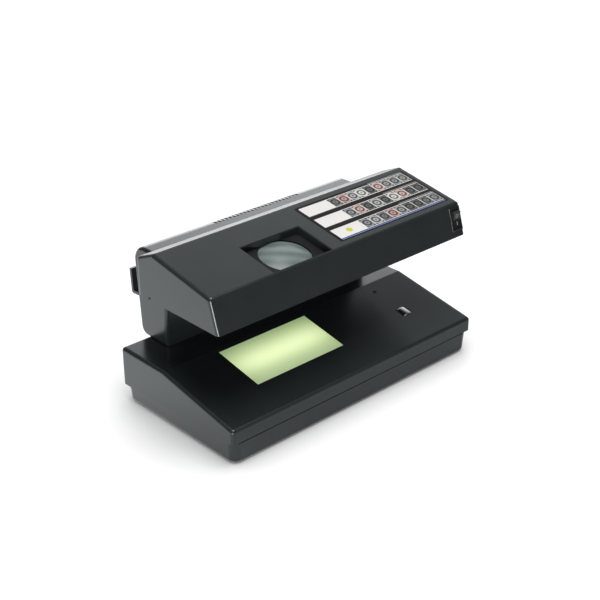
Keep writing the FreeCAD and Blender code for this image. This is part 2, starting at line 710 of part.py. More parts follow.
def magnetic_head():
    """Pick-up head: a can with a crown that stands just above the slope."""
    across, along = span(HEAD_X, HEAD_WIDTH), span(HEAD_ALONG, HEAD_LENGTH)
    axis_depth = HEAD_CROWN - HEAD_CROWN_RADIUS
    crown = rod(HEAD_CROWN_RADIUS, vec(HEAD_X, along[0], axis_depth), Y_AXIS, HEAD_LENGTH)
    top = crown.common(box(across, along, (axis_depth, HEAD_CROWN)))
    return on_base_slope(fused([top, box(across, along, (-HEAD_DEPTH, axis_depth))]))


def head_holder():
    """Moulded collar under the cover that grips the head."""
    across, along = span(HEAD_X, HEAD_WIDTH), span(HEAD_ALONG, HEAD_LENGTH)
    depth = (-WALL - COLLAR_DEPTH, -WALL)
    collar = box(grown(across, COLLAR_RIM), grown(along, COLLAR_RIM), depth)
    return on_base_slope(collar.cut(box(grown(across, FIT), grown(along, FIT), depth)))


def indicator_led():
    """Small round lamp in the slope, with its flange under the cover."""
    middle = vec(LED_X, LED_ALONG, LED_PROUD - LED_RADIUS / 2)
    stem_foot = vec(LED_X, LED_ALONG, -WALL - LED_FLANGE)
    stem = rod(LED_RADIUS, stem_foot, Z_AXIS, middle.z - stem_foot.z)
    flange = rod(LED_RADIUS + LED_FLANGE, vec(LED_X, LED_ALONG, -WALL - LED_BODY), Z_AXIS, LED_BODY)
    return on_base_slope(fused([stem, Part.makeSphere(LED_RADIUS, middle), flange]))


def led_spacer():
    """Sleeve that holds the lamp up from the detector board."""
    foot = vec(LED_X, FRONT_Y + LED_ALONG * math.cos(BASE_SLOPE), DETECTOR[2] + BOARD_THICKNESS)
    sleeve = rod(LED_RADIUS + 2 * LED_FLANGE, foot, Z_AXIS, COVER_TOP_Z)
    above = box((0, BASE_WIDTH / 2), (0, BASE_DEPTH), (-WALL - LED_BODY - FIT, BASE_DEPTH))
    return sleeve.cut(on_base_slope(above))


def detector_board():
    return board_plate(DETECTOR)


def buzzer():
    """Sounder on the detector board, with its sound hole."""
    foot = vec(DETECTOR[0][0] + BUZZER_INSET, DETECTOR[1][1] - BUZZER_INSET, DETECTOR[2] + BOARD_THICKNESS)
    can = rod(BUZZER_RADIUS, foot, Z_AXIS, BUZZER_HEIGHT)
    return can.cut(rod(BUZZER_HOLE, foot + Z_AXIS * (BUZZER_HEIGHT / 2), Z_AXIS, BUZZER_HEIGHT))


def power_board():
    return board_plate(POWER)


def transformer():
    """Mains transformer: a laminated core with its coil through it."""
    x, y = sum(POWER[0]) / 2, sum(POWER[1]) / 2
    floor = POWER[2] + BOARD_THICKNESS
    core = box(span(x, CORE_SIZE[0]), span(y, CORE_SIZE[1]), (floor, floor + CORE_SIZE[2]))
    coil = box(span(x, COIL_SIZE[0]), span(y, COIL_SIZE[1]), span(floor + CORE_SIZE[2] / 2, COIL_SIZE[2]))
    return fused([core, coil])


def cord_gland():
    """Flanged bush in the rear wall for the mains lead."""
    inner = vec(GLAND_X, BASE_REAR_Y + GLAND_FLANGE_THICKNESS - GLAND_LENGTH, GLAND_Z)
    body = rod(GLAND_BODY, inner, Y_AXIS, GLAND_LENGTH)
    flange = rod(GLAND_FLANGE, vec(GLAND_X, BASE_REAR_Y, GLAND_Z), Y_AXIS, GLAND_FLANGE_THICKNESS)
    return fused([body, flange]).cut(rod(GLAND_BORE, inner, Y_AXIS, GLAND_LENGTH))


# Column
COLUMN_FACE = (COLUMN_TOP_Z - COVER_TOP_Z) / math.cos(COLUMN_TILT)
REAR_PANEL_X = grown(span(COLUMN_X, COLUMN_WIDTH), -REAR_PANEL_SIDE)
REAR_PANEL_V = (COLUMN_FOOT_ROUND + REAR_PANEL_EDGE, COLUMN_FACE - COLUMN_TOP_ROUND - REAR_PANEL_EDGE)
REAR_SCREWS = [(x, v) for x in grown(REAR_PANEL_X, -REAR_PANEL_SCREW_INSET)
               for v in grown(REAR_PANEL_V, -REAR_PANEL_SCREW_INSET)]
HOOK_X = span(COLUMN_X, COLUMN_WIDTH - 2 * HOOK_INSET - HOOK_WIDTH)
HOOK_ARM = (HOOK_ABOVE_BASE, HOOK_ABOVE_BASE + HOOK_THICKNESS)


def column_housing():
    """Rear column: carries the hood on its front face and the wiring inside."""
    def rear_rounded(solid, wall):
        """The rear wall's crest and foot rounded; the inside takes the same curves less the wall."""
        for (y, z), radius in zip(COLUMN_OUTLINE[-2:], (COLUMN_TOP_ROUND, COLUMN_FOOT_ROUND)):
            def near(a, b):
                return not same(a.x, b.x) and math.dist((a.y, a.z), (y, z)) < 3 * WALL
            solid = rounded(solid, radius - wall, near)
        return solid

    block = rear_rounded(prism(COLUMN_OUTLINE, COLUMN_WIDTH), 0)
    block = rounded(block, EDGE_ROUND, lambda a, b: same(a.x, b.x) and not same(max(a.z, b.z), COVER_TOP_Z))
    hollow = rear_rounded(inset_prism(COLUMN_OUTLINE, WALL, COLUMN_WIDTH - 2 * WALL), WALL)
    shell = block.cut(hollow).translated(vec(COLUMN_X, 0, 0))

    bosses = []
    removals = []
    for x, y in COLUMN_SCREWS:
        bosses.append(rod(BOSS_RADIUS, vec(x, y, COVER_TOP_Z), Z_AXIS, COLUMN_BOSS_HEIGHT))
        removals.append(rod(PILOT_RADIUS, vec(x, y, COVER_TOP_Z), Z_AXIS, COLUMN_SCREW_SHANK))
    for x, z in HOOD_SCREWS:
        removals.append(rod(SCREW_HOLE_RADIUS, vec(x, HOOD_REAR_Y, z), Y_AXIS, 2 * WALL))
    removals.append(box(span(0, 2 * WIRE_HOLE_HALF), COLUMN_WIRE_Y, span(COVER_TOP_Z, 4 * WALL)))
    removals.append(box(span(0, 2 * HOOD_WIRE_HALF), span(HOOD_REAR_Y, 4 * WALL), HOOD_WIRE_Z))
    for i in range(TOP_SLOT_COUNT):
        x = TOP_SLOT_X + (i - (TOP_SLOT_COUNT - 1) / 2) * TOP_SLOT_PITCH
        rear = COLUMN_CREST_Y - TOP_SLOT_INSET
        removals.append(box(span(x, TOP_SLOT_WIDTH), (rear - TOP_SLOT_LENGTH, rear),
                            (COLUMN_TOP_Z - 3 * WALL, COLUMN_TOP_Z + WALL)))
    for x in HOOK_X:
        slot = box(grown(span(x, HOOK_TENON), FIT), grown(HOOK_ARM, FIT), (-WALL, 2 * WALL))
        removals.append(on_column_rear(slot))
    for x, v in REAR_SCREWS:
        removals.append(on_column_rear(rod(PILOT_RADIUS, vec(x, v, 0), Z_AXIS, 3 * WALL)))
    shell = framed_opening(fused([shell] + bosses), on_column_rear, REAR_PANEL_X, REAR_PANEL_V, -1,
                           REAR_PANEL_LEDGE)
    return trimmed(shell, removals)


def rear_cover():
    """Screwed panel in the back of the column, with ventilation slots."""
    cuts = []
    for i in range(VENT_COUNT):
        x = COLUMN_X + (i - (VENT_COUNT - 1) / 2) * VENT_PITCH
        cuts.append(on_column_rear(box(span(x, VENT_WIDTH), grown(REAR_PANEL_V, -VENT_INSET), (0, 2 * WALL))))
    for x, v in REAR_SCREWS:
        cuts.append(on_column_rear(rod(SCREW_HOLE_RADIUS, vec(x, v, 0), Z_AXIS, 2 * WALL)))
    return trimmed(inlaid_panel(on_column_rear, REAR_PANEL_X, REAR_PANEL_V, -1), cuts)


def rear_cover_screws():
    return Part.makeCompound([on_column_rear(screw(vec(x, v, PANEL_SINK), Z_AXIS, REAR_SCREW_SHANK))
                              for x, v in REAR_SCREWS])


def cord_hook(x):
    """Upward hook for the wound lead: an arm through the rear wall, and an upright that leans with it."""
    arm = box(span(x, HOOK_WIDTH), HOOK_ARM, (-HOOK_REACH, 0))
    upright = box(span(x, HOOK_WIDTH), (HOOK_ARM[0], HOOK_TOP), (-HOOK_REACH, HOOK_THICKNESS - HOOK_REACH))
    tenon = box(span(x, HOOK_TENON), HOOK_ARM, (0, WALL))
    hook = fused([arm, upright, tenon])
    return on_column_rear(rounded(hook, HOOK_BEND_ROUND, along_x_at(HOOK_ARM[0], -HOOK_REACH)))


def column_screws():
    return Part.makeCompound([screw(vec(x, y, COVER_TOP_Z - WALL), Z_AXIS, COLUMN_SCREW_SHANK)
                              for x, y in COLUMN_SCREWS])


# Hood
LENS_WINDOW_X = span(LENS_X, LENS_WINDOW_WIDTH)
LENS_WINDOW_V = span(LENS_ALONG, LENS_WINDOW_LENGTH)
LENS_RIM_TOP = -LENS_SKIRT - LENS_SEAT_DROP
LENS_RIM_FOOT = LENS_RIM_TOP - LENS_RIM
CARRIER_FOOT = LENS_RIM_FOOT - CARRIER_FLOOR
UV_BAY_Y = grown(span(UV_MID_Y, UV_PITCH), TUBE_RADIUS + UV_MARGIN)
UV_BAY_WIDTH = UV_LENGTH - 2 * TUBE_CAP
TUNNEL_Y = (HOOD_FRONT_Y + TUNNEL_FRONT, UV_BAY_Y[0] - SHEET - TUNNEL_GAP - TUNNEL_WALL)


def hood_cover():
    """Hood shell: open below, with the magnifier well, switch cut-out and screw bosses."""
    skin = opened_below(HOOD_OUTLINE, HOOD_FRONT_HEIGHT)
    block = rounded(prism(HOOD_OUTLINE, HOOD_WIDTH), EDGE_ROUND, rising_above(HOOD_BOTTOM_Z))
    shell = block.cut(inset_prism(skin, WALL, HOOD_WIDTH - 2 * WALL))

    skirt = box(grown(LENS_WINDOW_X, LENS_SKIRT_WALL), grown(LENS_WINDOW_V, LENS_SKIRT_WALL),
                (-LENS_SKIRT, -WALL / 2))
    inside = inset_prism(HOOD_OUTLINE, WALL / 2, HOOD_WIDTH - WALL)
    additions = [on_hood_slope(skirt).common(inside)]
    removals = [on_hood_slope(box(LENS_WINDOW_X, LENS_WINDOW_V, (-2 * LENS_SKIRT, WALL)))]
    removals.append(on_hood_slope(window_bevel()))
    for x, y in PLATE_SCREWS:
        additions.append(rod(BOSS_RADIUS, vec(x, y, PLATE_BOSS_Z), Z_AXIS, HOOD_RIDGE_HEIGHT).common(inside))
        removals.append(rod(PILOT_RADIUS, vec(x, y, PLATE_BOSS_Z), Z_AXIS, PLATE_SCREW_SHANK))
    for x, z in HOOD_SCREWS:
        boss_foot = vec(x, HOOD_REAR_Y - WALL - HOOD_BOSS_LENGTH, z)
        additions.append(rod(BOSS_RADIUS, boss_foot, Y_AXIS, HOOD_BOSS_LENGTH + WALL / 2))
        removals.append(rod(PILOT_RADIUS, boss_foot, Y_AXIS, HOOD_BOSS_LENGTH + WALL))
    removals.append(box(span(0, 2 * HOOD_WIRE_HALF), span(HOOD_REAR_Y, 4 * WALL), HOOD_WIRE_Z))
    cut_out = box(grown(span(SWITCH_X, SWITCH_WIDTH), FIT), grown(span(SWITCH_UP, SWITCH_LENGTH), FIT),
                  (-2 * WALL, WALL))
    removals.append(on_hood_front(cut_out))
    removals.append(box(span(-HOOD_WIDTH / 2, 4 * WALL), span(HOOD_REAR_Y - NOTCH_FROM_REAR, NOTCH_WIDTH),
                        (HOOD_BOTTOM_Z, HOOD_BOTTOM_Z + NOTCH_HEIGHT)))
    return trimmed(fused([shell] + additions), removals)


def window_bevel():
    """Bevelled edge of the magnifier window, as a tapered plug in face coordinates."""
    rings = []
    for height, margin in ((LENS_EDGE_CHAMFER, 2 * LENS_EDGE_CHAMFER), (-LENS_EDGE_CHAMFER, 0)):
        (x0, x1), (v0, v1) = grown(LENS_WINDOW_X, margin), grown(LENS_WINDOW_V, margin)
        ring = [vec(x, v, height) for x, v in ((x0, v0), (x1, v0), (x1, v1), (x0, v1))]
        rings.append(Part.makePolygon(ring + ring[:1]))
    return Part.makeLoft(rings, True, True)


def hood_underside():
    """Floor plate of the hood: lamp bay, viewing opening, sunk screws and posts for the ballast board."""
    margin = WALL + PLATE_CLEARANCE
    inside = inset_prism(opened_below(HOOD_OUTLINE, HOOD_FRONT_HEIGHT), margin, HOOD_WIDTH - 2 * margin)
    level = (PLATE_Z, PLATE_TOP_Z)
    plate = inside.common(box(span(0, HOOD_WIDTH), (HOOD_FRONT_Y, HOOD_REAR_Y), level))
    additions = board_posts(BALLAST)
    removals = [box(span(0, UV_BAY_WIDTH), UV_BAY_Y, level), box(LENS_WINDOW_X, TUNNEL_Y, level)]
    for x, y in PLATE_SCREWS:
        body, bores = sunk_boss(x, y, PLATE_Z, PLATE_Z + SCREW_HEAD, PLATE_BOSS_Z)
        additions.append(body)
        removals.extend(bores)
    return trimmed(fused([plate] + additions), removals)


def hood_screws():
    """Screws from inside the column into the hood's rear bosses."""
    return Part.makeCompound([screw(vec(x, HOOD_REAR_Y + WALL, z), Y_AXIS * -1, HOOD_SCREW_SHANK)
                              for x, z in HOOD_SCREWS])


def underside_screws():
    return Part.makeCompound([screw(vec(x, y, PLATE_Z + SCREW_HEAD), Z_AXIS, PLATE_SCREW_SHANK)
                              for x, y in PLATE_SCREWS])


def uv_reflector():
    """Folded sheet over the ultraviolet tubes, open below."""
    front, rear = grown(UV_BAY_Y, SHEET)
    top = UV_Z + TUBE_RADIUS + UV_HEADROOM
    shoulder = top - UV_BEVEL
    outline = [(front, PLATE_TOP_Z), (front, shoulder), (front + UV_BEVEL, top), (rear - UV_BEVEL, top),
               (rear, shoulder), (rear, PLATE_TOP_Z)]
    width = UV_BAY_WIDTH - 2 * SHEET
    return prism(outline, width).cut(inset_prism(opened_below(outline, UV_RISE), SHEET, width))


def uv_lamp_caps():
    return Part.makeCompound([cap for lamp in UV_LAMPS for cap in tube_caps(*lamp)])


def uv_lampholders():
    return Part.makeCompound([socket for lamp in UV_LAMPS for socket in tube_sockets(*lamp, PLATE_TOP_Z)])


def lens():
    """Plano-convex magnifier: a flat rim under a spherical dome."""
    ball_radius = (LENS_RADIUS ** 2 + LENS_DOME ** 2) / (2 * LENS_DOME)
    ball = Part.makeSphere(ball_radius, vec(LENS_X, LENS_ALONG, LENS_RIM_TOP + LENS_DOME - ball_radius))
    blank = rod(LENS_RADIUS, vec(LENS_X, LENS_ALONG, LENS_RIM_FOOT), Z_AXIS, LENS_RIM + LENS_DOME)
    return on_hood_slope(blank.common(ball))


def lens_carrier():
    """Seat plate under the well: the lens drops into its round pocket."""
    across = grown(LENS_WINDOW_X, LENS_SKIRT_WALL)
    along = grown(span(LENS_ALONG, 2 * LENS_RADIUS), CARRIER_MARGIN)
    plate = box(across, along, (CARRIER_FOOT, -LENS_SKIRT))
    pocket = rod(LENS_RADIUS + FIT, vec(LENS_X, LENS_ALONG, LENS_RIM_FOOT), Z_AXIS, -LENS_RIM_FOOT)
    sight = rod(LENS_RADIUS - LENS_LEDGE, vec(LENS_X, LENS_ALONG, CARRIER_FOOT), Z_AXIS, -CARRIER_FOOT)
    inside = inset_prism(HOOD_OUTLINE, WALL + FIT, HOOD_WIDTH - 2 * WALL)
    return on_hood_slope(trimmed(plate, [pocket.fuse(sight)])).common(inside)


def view_tunnel():
    """Rectangular chimney from the floor plate to the lens carrier, which it holds up."""
    height = (PLATE_TOP_Z, HOOD_RIDGE_Z)
    walls = box(grown(LENS_WINDOW_X, TUNNEL_WALL), grown(TUNNEL_Y, TUNNEL_WALL), height)
    above = box(span(0, HOOD_WIDTH), span(0, 2 * HOOD_DEPTH), (CARRIER_FOOT, HOOD_RIDGE_HEIGHT))
    return walls.cut(box(LENS_WINDOW_X, TUNNEL_Y, height)).cut(on_hood_slope(above))


def legend_label():
    """Printed reference chart stuck on the slope of the hood."""
    return on_hood_slope(box(span(LABEL_X, LABEL_WIDTH), (LABEL_START, LABEL_START + LABEL_LENGTH),
                             (0, LABEL_THICKNESS)))


# Rocker switch
ROCKER_WIDTH = SWITCH_WIDTH - 2 * SWITCH_WALL - 2 * ROCKER_GAP
TRUNNION_REACH = SWITCH_WIDTH - 2 * ROCKER_GAP


def switch_body():
    """Snap-in switch: bezel on the face, hollow housing behind it, and bearings for the rocker."""
    bezel = box(span(SWITCH_X, BEZEL_WIDTH), span(SWITCH_UP, BEZEL_LENGTH), (0, BEZEL_THICKNESS))
    bezel = rounded(bezel, BEZEL_THICKNESS / 2, at_height(BEZEL_THICKNESS))
    housing = box(span(SWITCH_X, SWITCH_WIDTH), span(SWITCH_UP, SWITCH_LENGTH), (-SWITCH_DEPTH, 0))
    swing = ROCKER_RADIUS + ROCKER_GAP
    cavity = box(span(SWITCH_X, SWITCH_WIDTH - 2 * SWITCH_WALL), span(SWITCH_UP, 2 * swing),
                 (-ROCKER_PIVOT_DEPTH - swing, BEZEL_THICKNESS))
    bearing_end = vec(SWITCH_X - SWITCH_WIDTH / 2, SWITCH_UP, -ROCKER_PIVOT_DEPTH)
    bearing = rod(TRUNNION_RADIUS + PIVOT_CLEARANCE, bearing_end, X_AXIS, SWITCH_WIDTH)
    return on_hood_front(trimmed(fused([bezel, housing]), [cavity, bearing]))


def switch_rocker():
    """Rocker: a round-ended key with a shallow valley on top, at rest with its lower half pressed."""
    reach = 2 * ROCKER_RADIUS
    rise = ROCKER_HEART + reach * math.tan(ROCKER_TILT)
    dip = [(-reach, rise), (0, ROCKER_HEART), (reach, rise), (reach, 2 * reach), (-reach, 2 * reach)]
    valley = prism(dip, ROCKER_WIDTH)
    sole = box(span(0, ROCKER_WIDTH), (-reach, reach), (-reach, -ROCKER_FLOOR))
    key = rod(ROCKER_RADIUS, vec(-ROCKER_WIDTH / 2, 0, 0), X_AXIS, ROCKER_WIDTH).cut(valley).cut(sole)
    rocker = fused([key, rod(TRUNNION_RADIUS, vec(-TRUNNION_REACH / 2, 0, 0), X_AXIS, TRUNNION_REACH)])
    rocker.Placement = FreeCAD.Placement(vec(SWITCH_X, SWITCH_UP, -ROCKER_PIVOT_DEPTH),
                                         FreeCAD.Rotation(X_AXIS, math.degrees(ROCKER_TILT)))
    return on_hood_front(rocker)


def switch_terminals():
    """Two blade terminals behind the housing."""
    blades = []
    for up in span(SWITCH_UP, SWITCH_LENGTH / 2):
        blades.append(on_hood_front(box(span(SWITCH_X, TERMINAL_WIDTH), span(up, TERMINAL_THICKNESS),
                                        (-SWITCH_DEPTH - TERMINAL_LENGTH, -SWITCH_DEPTH))))
    return Part.makeCompound(blades)


def ballast_board():
    return board_plate(BALLAST)


def ballast_parts():
    """Choke and two capacitors on the ballast board."""
    floor = BALLAST[2] + BOARD_THICKNESS
    y = sum(BALLAST[1]) / 2
    parts = [box(span(BALLAST_BOARD_X + CHOKE_AT, CHOKE_SIZE[0]), span(y, CHOKE_SIZE[1]),
                 (floor, floor + CHOKE_SIZE[2]))]
    for place in CAPACITOR_AT:
        parts.append(rod(CAPACITOR_RADIUS, vec(BALLAST_BOARD_X + place, y, floor), Z_AXIS, CAPACITOR_HEIGHT))
    return Part.makeCompound(parts)


def wiring_loom():
    """Sleeved wiring up the column, which lies on the sill of the opening into the hood."""
    y, z = sum(COLUMN_WIRE_Y) / 2, HOOD_WIRE_Z[0] + LOOM_RADIUS + FIT
    foot = COVER_TOP_Z - 2 * WALL
    end = HOOD_REAR_Y - 2 * WALL
    upright = rod(LOOM_RADIUS, vec(0, y, foot), Z_AXIS, z - foot)
    branch = rod(LOOM_RADIUS, vec(0, end, z), Y_AXIS, y - end)
    return fused([upright, branch, Part.makeSphere(LOOM_RADIUS, vec(0, y, z))])


PARTS = {
    "base_tray": base_tray(),
    "base_cover": base_cover(),
    "rubber_feet": rubber_feet(),
    "base_screws": base_screws(),
    "light_window": light_window(),
    "watermark_lamp": watermark_lamp(),
    "watermark_lamp_caps": watermark_lamp_caps(),
    "watermark_lampholders": watermark_lampholders(),
    "watermark_reflector": watermark_reflector(),
    "magnetic_head": magnetic_head(),
    "head_holder": head_holder(),
    "indicator_led": indicator_led(),
    "led_spacer": led_spacer(),
    "detector_board": detector_board(),
    "buzzer": buzzer(),
    "power_board": power_board(),
    "transformer": transformer(),
    "cord_gland": cord_gland(),
    "column_housing": column_housing(),
    "column_screws": column_screws(),
    "rear_cover": rear_cover(),
    "rear_cover_screws": rear_cover_screws(),
    "cord_hook_left": cord_hook(HOOK_X[0]),
    "cord_hook_right": cord_hook(HOOK_X[1]),
    "hood_cover": hood_cover(),
    "hood_underside": hood_underside(),
    "hood_screws": hood_screws(),
    "underside_screws": underside_screws(),
    "uv_reflector": uv_reflector(),
    "uv_lamp_front": tube_glass(*UV_LAMPS[0]),
    "uv_lamp_rear": tube_glass(*UV_LAMPS[1]),
    "uv_lamp_caps": uv_lamp_caps(),
    "uv_lampholders": uv_lampholders(),
    "lens": lens(),
    "lens_carrier": lens_carrier(),
    "view_tunnel": view_tunnel(),
    "legend_label": legend_label(),
    "switch_body": switch_body(),
    "switch_rocker": switch_rocker(),
    "switch_terminals": switch_terminals(),
    "ballast_board": ballast_board(),
    "ballast_parts": ballast_parts(),
    "wiring_loom": wiring_loom(),
}

os.makedirs("parts", exist_ok=True)
for name, shape in PARTS.items():
    print(name, "solids", len(shape.Solids), "valid", shape.isValid(), "volume", round(shape.Volume, 1))
    shape.exportStep(os.path.join("parts", name + ".step"))
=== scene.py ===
# %% [markdown]
# # A desktop counterfeit detector
#
# The detector stands on a counter: a wedge base with a lit window, a column at the rear, and a hood that
# leans out over the viewing gap. Its solids are already packed, so this lesson doesn't model the mouldings
# again. It loads them as a fixed frame, gives each one the finish of its real material, and adds the pieces
# whose form is finer than the solids: the lens, the screws with their cross recesses, the pick-up head, the
# printed label and the marks on the switch.

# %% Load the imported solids
import math

import bmesh
import bpy
import numpy as np
from mathutils import Matrix, Vector


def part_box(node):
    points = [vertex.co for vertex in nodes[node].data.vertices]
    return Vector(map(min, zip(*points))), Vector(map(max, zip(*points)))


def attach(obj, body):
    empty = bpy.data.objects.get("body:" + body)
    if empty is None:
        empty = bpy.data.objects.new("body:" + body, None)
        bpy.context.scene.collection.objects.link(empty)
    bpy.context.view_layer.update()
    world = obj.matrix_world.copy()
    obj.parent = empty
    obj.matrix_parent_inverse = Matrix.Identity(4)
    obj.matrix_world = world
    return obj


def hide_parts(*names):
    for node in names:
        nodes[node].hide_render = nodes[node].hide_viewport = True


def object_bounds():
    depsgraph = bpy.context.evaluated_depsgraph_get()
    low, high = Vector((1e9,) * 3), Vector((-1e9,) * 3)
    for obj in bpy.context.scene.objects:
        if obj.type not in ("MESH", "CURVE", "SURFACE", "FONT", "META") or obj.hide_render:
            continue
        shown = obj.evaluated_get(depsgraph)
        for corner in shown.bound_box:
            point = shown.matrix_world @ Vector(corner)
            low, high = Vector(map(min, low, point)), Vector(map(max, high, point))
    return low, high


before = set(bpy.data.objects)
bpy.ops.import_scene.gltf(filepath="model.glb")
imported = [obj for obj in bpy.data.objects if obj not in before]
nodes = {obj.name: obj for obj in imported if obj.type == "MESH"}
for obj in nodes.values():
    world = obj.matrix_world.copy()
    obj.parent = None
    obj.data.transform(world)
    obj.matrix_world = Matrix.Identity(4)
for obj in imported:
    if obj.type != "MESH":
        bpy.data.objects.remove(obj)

cad_box = [list(corner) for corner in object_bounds()]
print("packed nodes:", len(nodes), "box:", cad_box)

# %% [markdown]
# ## Colours and shader nodes
#
# Blender's shaders work with linear light, while the colours here are written as sRGB hex values, so one
# function turns the one into the other. A second function adds a shader node, sets what is constant on it
# and links what varies. A third starts a finish, with one shader and the values that are the same all over.
# Every finish below is written with these three, so that its recipe reads from the texture to the shader.
# Blender's Mix node has a pair of inputs for each type of data, all with the same names, so they go by number.

# %% Helpers for every finish
MM = 0.001
FACTOR, FLOAT_A, FLOAT_B = 0, 2, 3
COLOUR_A, COLOUR_B, COLOUR_OUT = 6, 7, 2


def linear(hex_colour):
    """sRGB to linear: c / 12.92 in the dark toe, and ((c + 0.055) / 1.055) to the power 2.4 above it."""
    srgb = np.array([int(hex_colour[i:i + 2], 16) for i in (1, 3, 5)]) / 255
    rgb = np.where(srgb <= 0.04045, srgb / 12.92, ((srgb + 0.055) / 1.055) ** 2.4)
    return (*rgb.tolist(), 1.0)


def add(tree, kind, settings=None, links=None):
    """Adds a node. A setting is an input, by name or number, or an attribute; a link is input to source."""
    node = tree.nodes.new("ShaderNode" + kind)
    for key, value in (settings or {}).items():
        if isinstance(key, int) or key in node.inputs:
            node.inputs[key].default_value = value
        else:
            setattr(node, key, value)
    for key, source in (links or {}).items():
        tree.links.new(source, node.inputs[key])
    return node


def start_finish(name, settings):
    """A material with one Principled shader: the settings are the values that are the same all over."""
    material = bpy.data.materials.new(name)
    material.use_nodes = True
    tree = material.node_tree
    tree.nodes.clear()
    shader = add(tree, "BsdfPrincipled", settings)
    add(tree, "OutputMaterial", links={"Surface": shader.outputs["BSDF"]})
    return material, tree, shader


print("mid grey in linear light:", linear("#808080")[0])

# %% [markdown]
# ## What most surfaces share
#
# No moulded, rolled or cast surface has quite one colour or one gloss. Its colour drifts a little over
# blotches of some millimetres, its gloss drifts with it, and a fine grain from the mould or the mill breaks
# up its highlights. A noise texture in object coordinates gives all three, and stays in place on the piece
# when the piece moves. The sizes are in millimetres: a noise of scale s has about s features per metre. Real
# grain is mostly finer than the sizes given below, and is drawn as coarse as it needs to be to show.

# %% A finish that drifts
def drifting(name, colours, blotch, gloss, grain, settings):
    """colours: two hex values; blotch: mm; gloss: roughness pair; grain: (size in mm, height in mm)."""
    material, tree, shader = start_finish(name, settings)
    place = add(tree, "TexCoord").outputs["Object"]
    drift = add(tree, "TexNoise", {"Scale": 1 / (blotch * MM), "Detail": 3.0}, {"Vector": place})
    colour = add(tree, "Mix", {"data_type": "RGBA", COLOUR_A: linear(colours[0]), COLOUR_B: linear(colours[1])},
                 {FACTOR: drift.outputs["Fac"]})
    rough = add(tree, "MapRange", {"To Min": gloss[0], "To Max": gloss[1]}, {"Value": drift.outputs["Fac"]})
    speck = add(tree, "TexNoise", {"Scale": 1 / (grain[0] * MM), "Detail": 2.0}, {"Vector": place})
    bump = add(tree, "Bump", {"Strength": 1.0, "Distance": grain[1] * MM}, {"Height": speck.outputs["Fac"]})
    for socket, source in (("Base Color", colour.outputs[COLOUR_OUT]), ("Roughness", rough.outputs["Result"]),
                           ("Normal", bump.outputs["Normal"])):
        tree.links.new(source, shader.inputs[socket])
    return material


print("noise scale of a 10 mm blotch:", round(1 / (10 * MM), 3))

# %% [markdown]
# ## The mouldings: black ABS
#
# The base, column and hood are injection-moulded ABS with a fine satin texture from the tool. To the eye
# that is a near-black that takes a soft grey sheen from whatever is bright around it. The real texture is
# about 0.1 mm, too fine to show here, so the grain is drawn at 0.7 mm and kept very shallow.

# %% Black ABS, outside and inside
ABS_IOR = 1.53
COOL_SHEEN = {"IOR": ABS_IOR, "Specular Tint": linear("#eef8fb")}
# Outside: near-black, with a soft and slightly cool sheen.
satin_abs = drifting("satin_black_abs", ("#212526", "#272b2c"), 30.0, (0.21, 0.27), (0.7, 0.004), COOL_SHEEN)
# Inside: left plain from the tool, so darker and without a sheen.
inner_abs = drifting("matt_black_abs", ("#0d0e0e", "#121313"), 12.0, (0.55, 0.68), (0.9, 0.01),
                     {"IOR": ABS_IOR, "Specular IOR Level": 0.2})
# The switch: moulded in a polished tool, so glossier than the housing around it.
switch_abs = drifting("gloss_black_switch_plastic", ("#111213", "#161718"), 6.0, (0.2, 0.28), (1.5, 0.002),
                      {"IOR": 1.55})
print("ABS finishes:", satin_abs.name, inner_abs.name, switch_abs.name)

# %% [markdown]
# ## Metals, rubber, enamel and laminate
#
# The smaller pieces are stock parts, each in the finish it is bought in. A table keeps them side by side, so
# that their values can be compared: what is rolled or plated is metallic and fairly smooth, rubber is rough,
# and enamel and lamp sockets are pale and glossy.

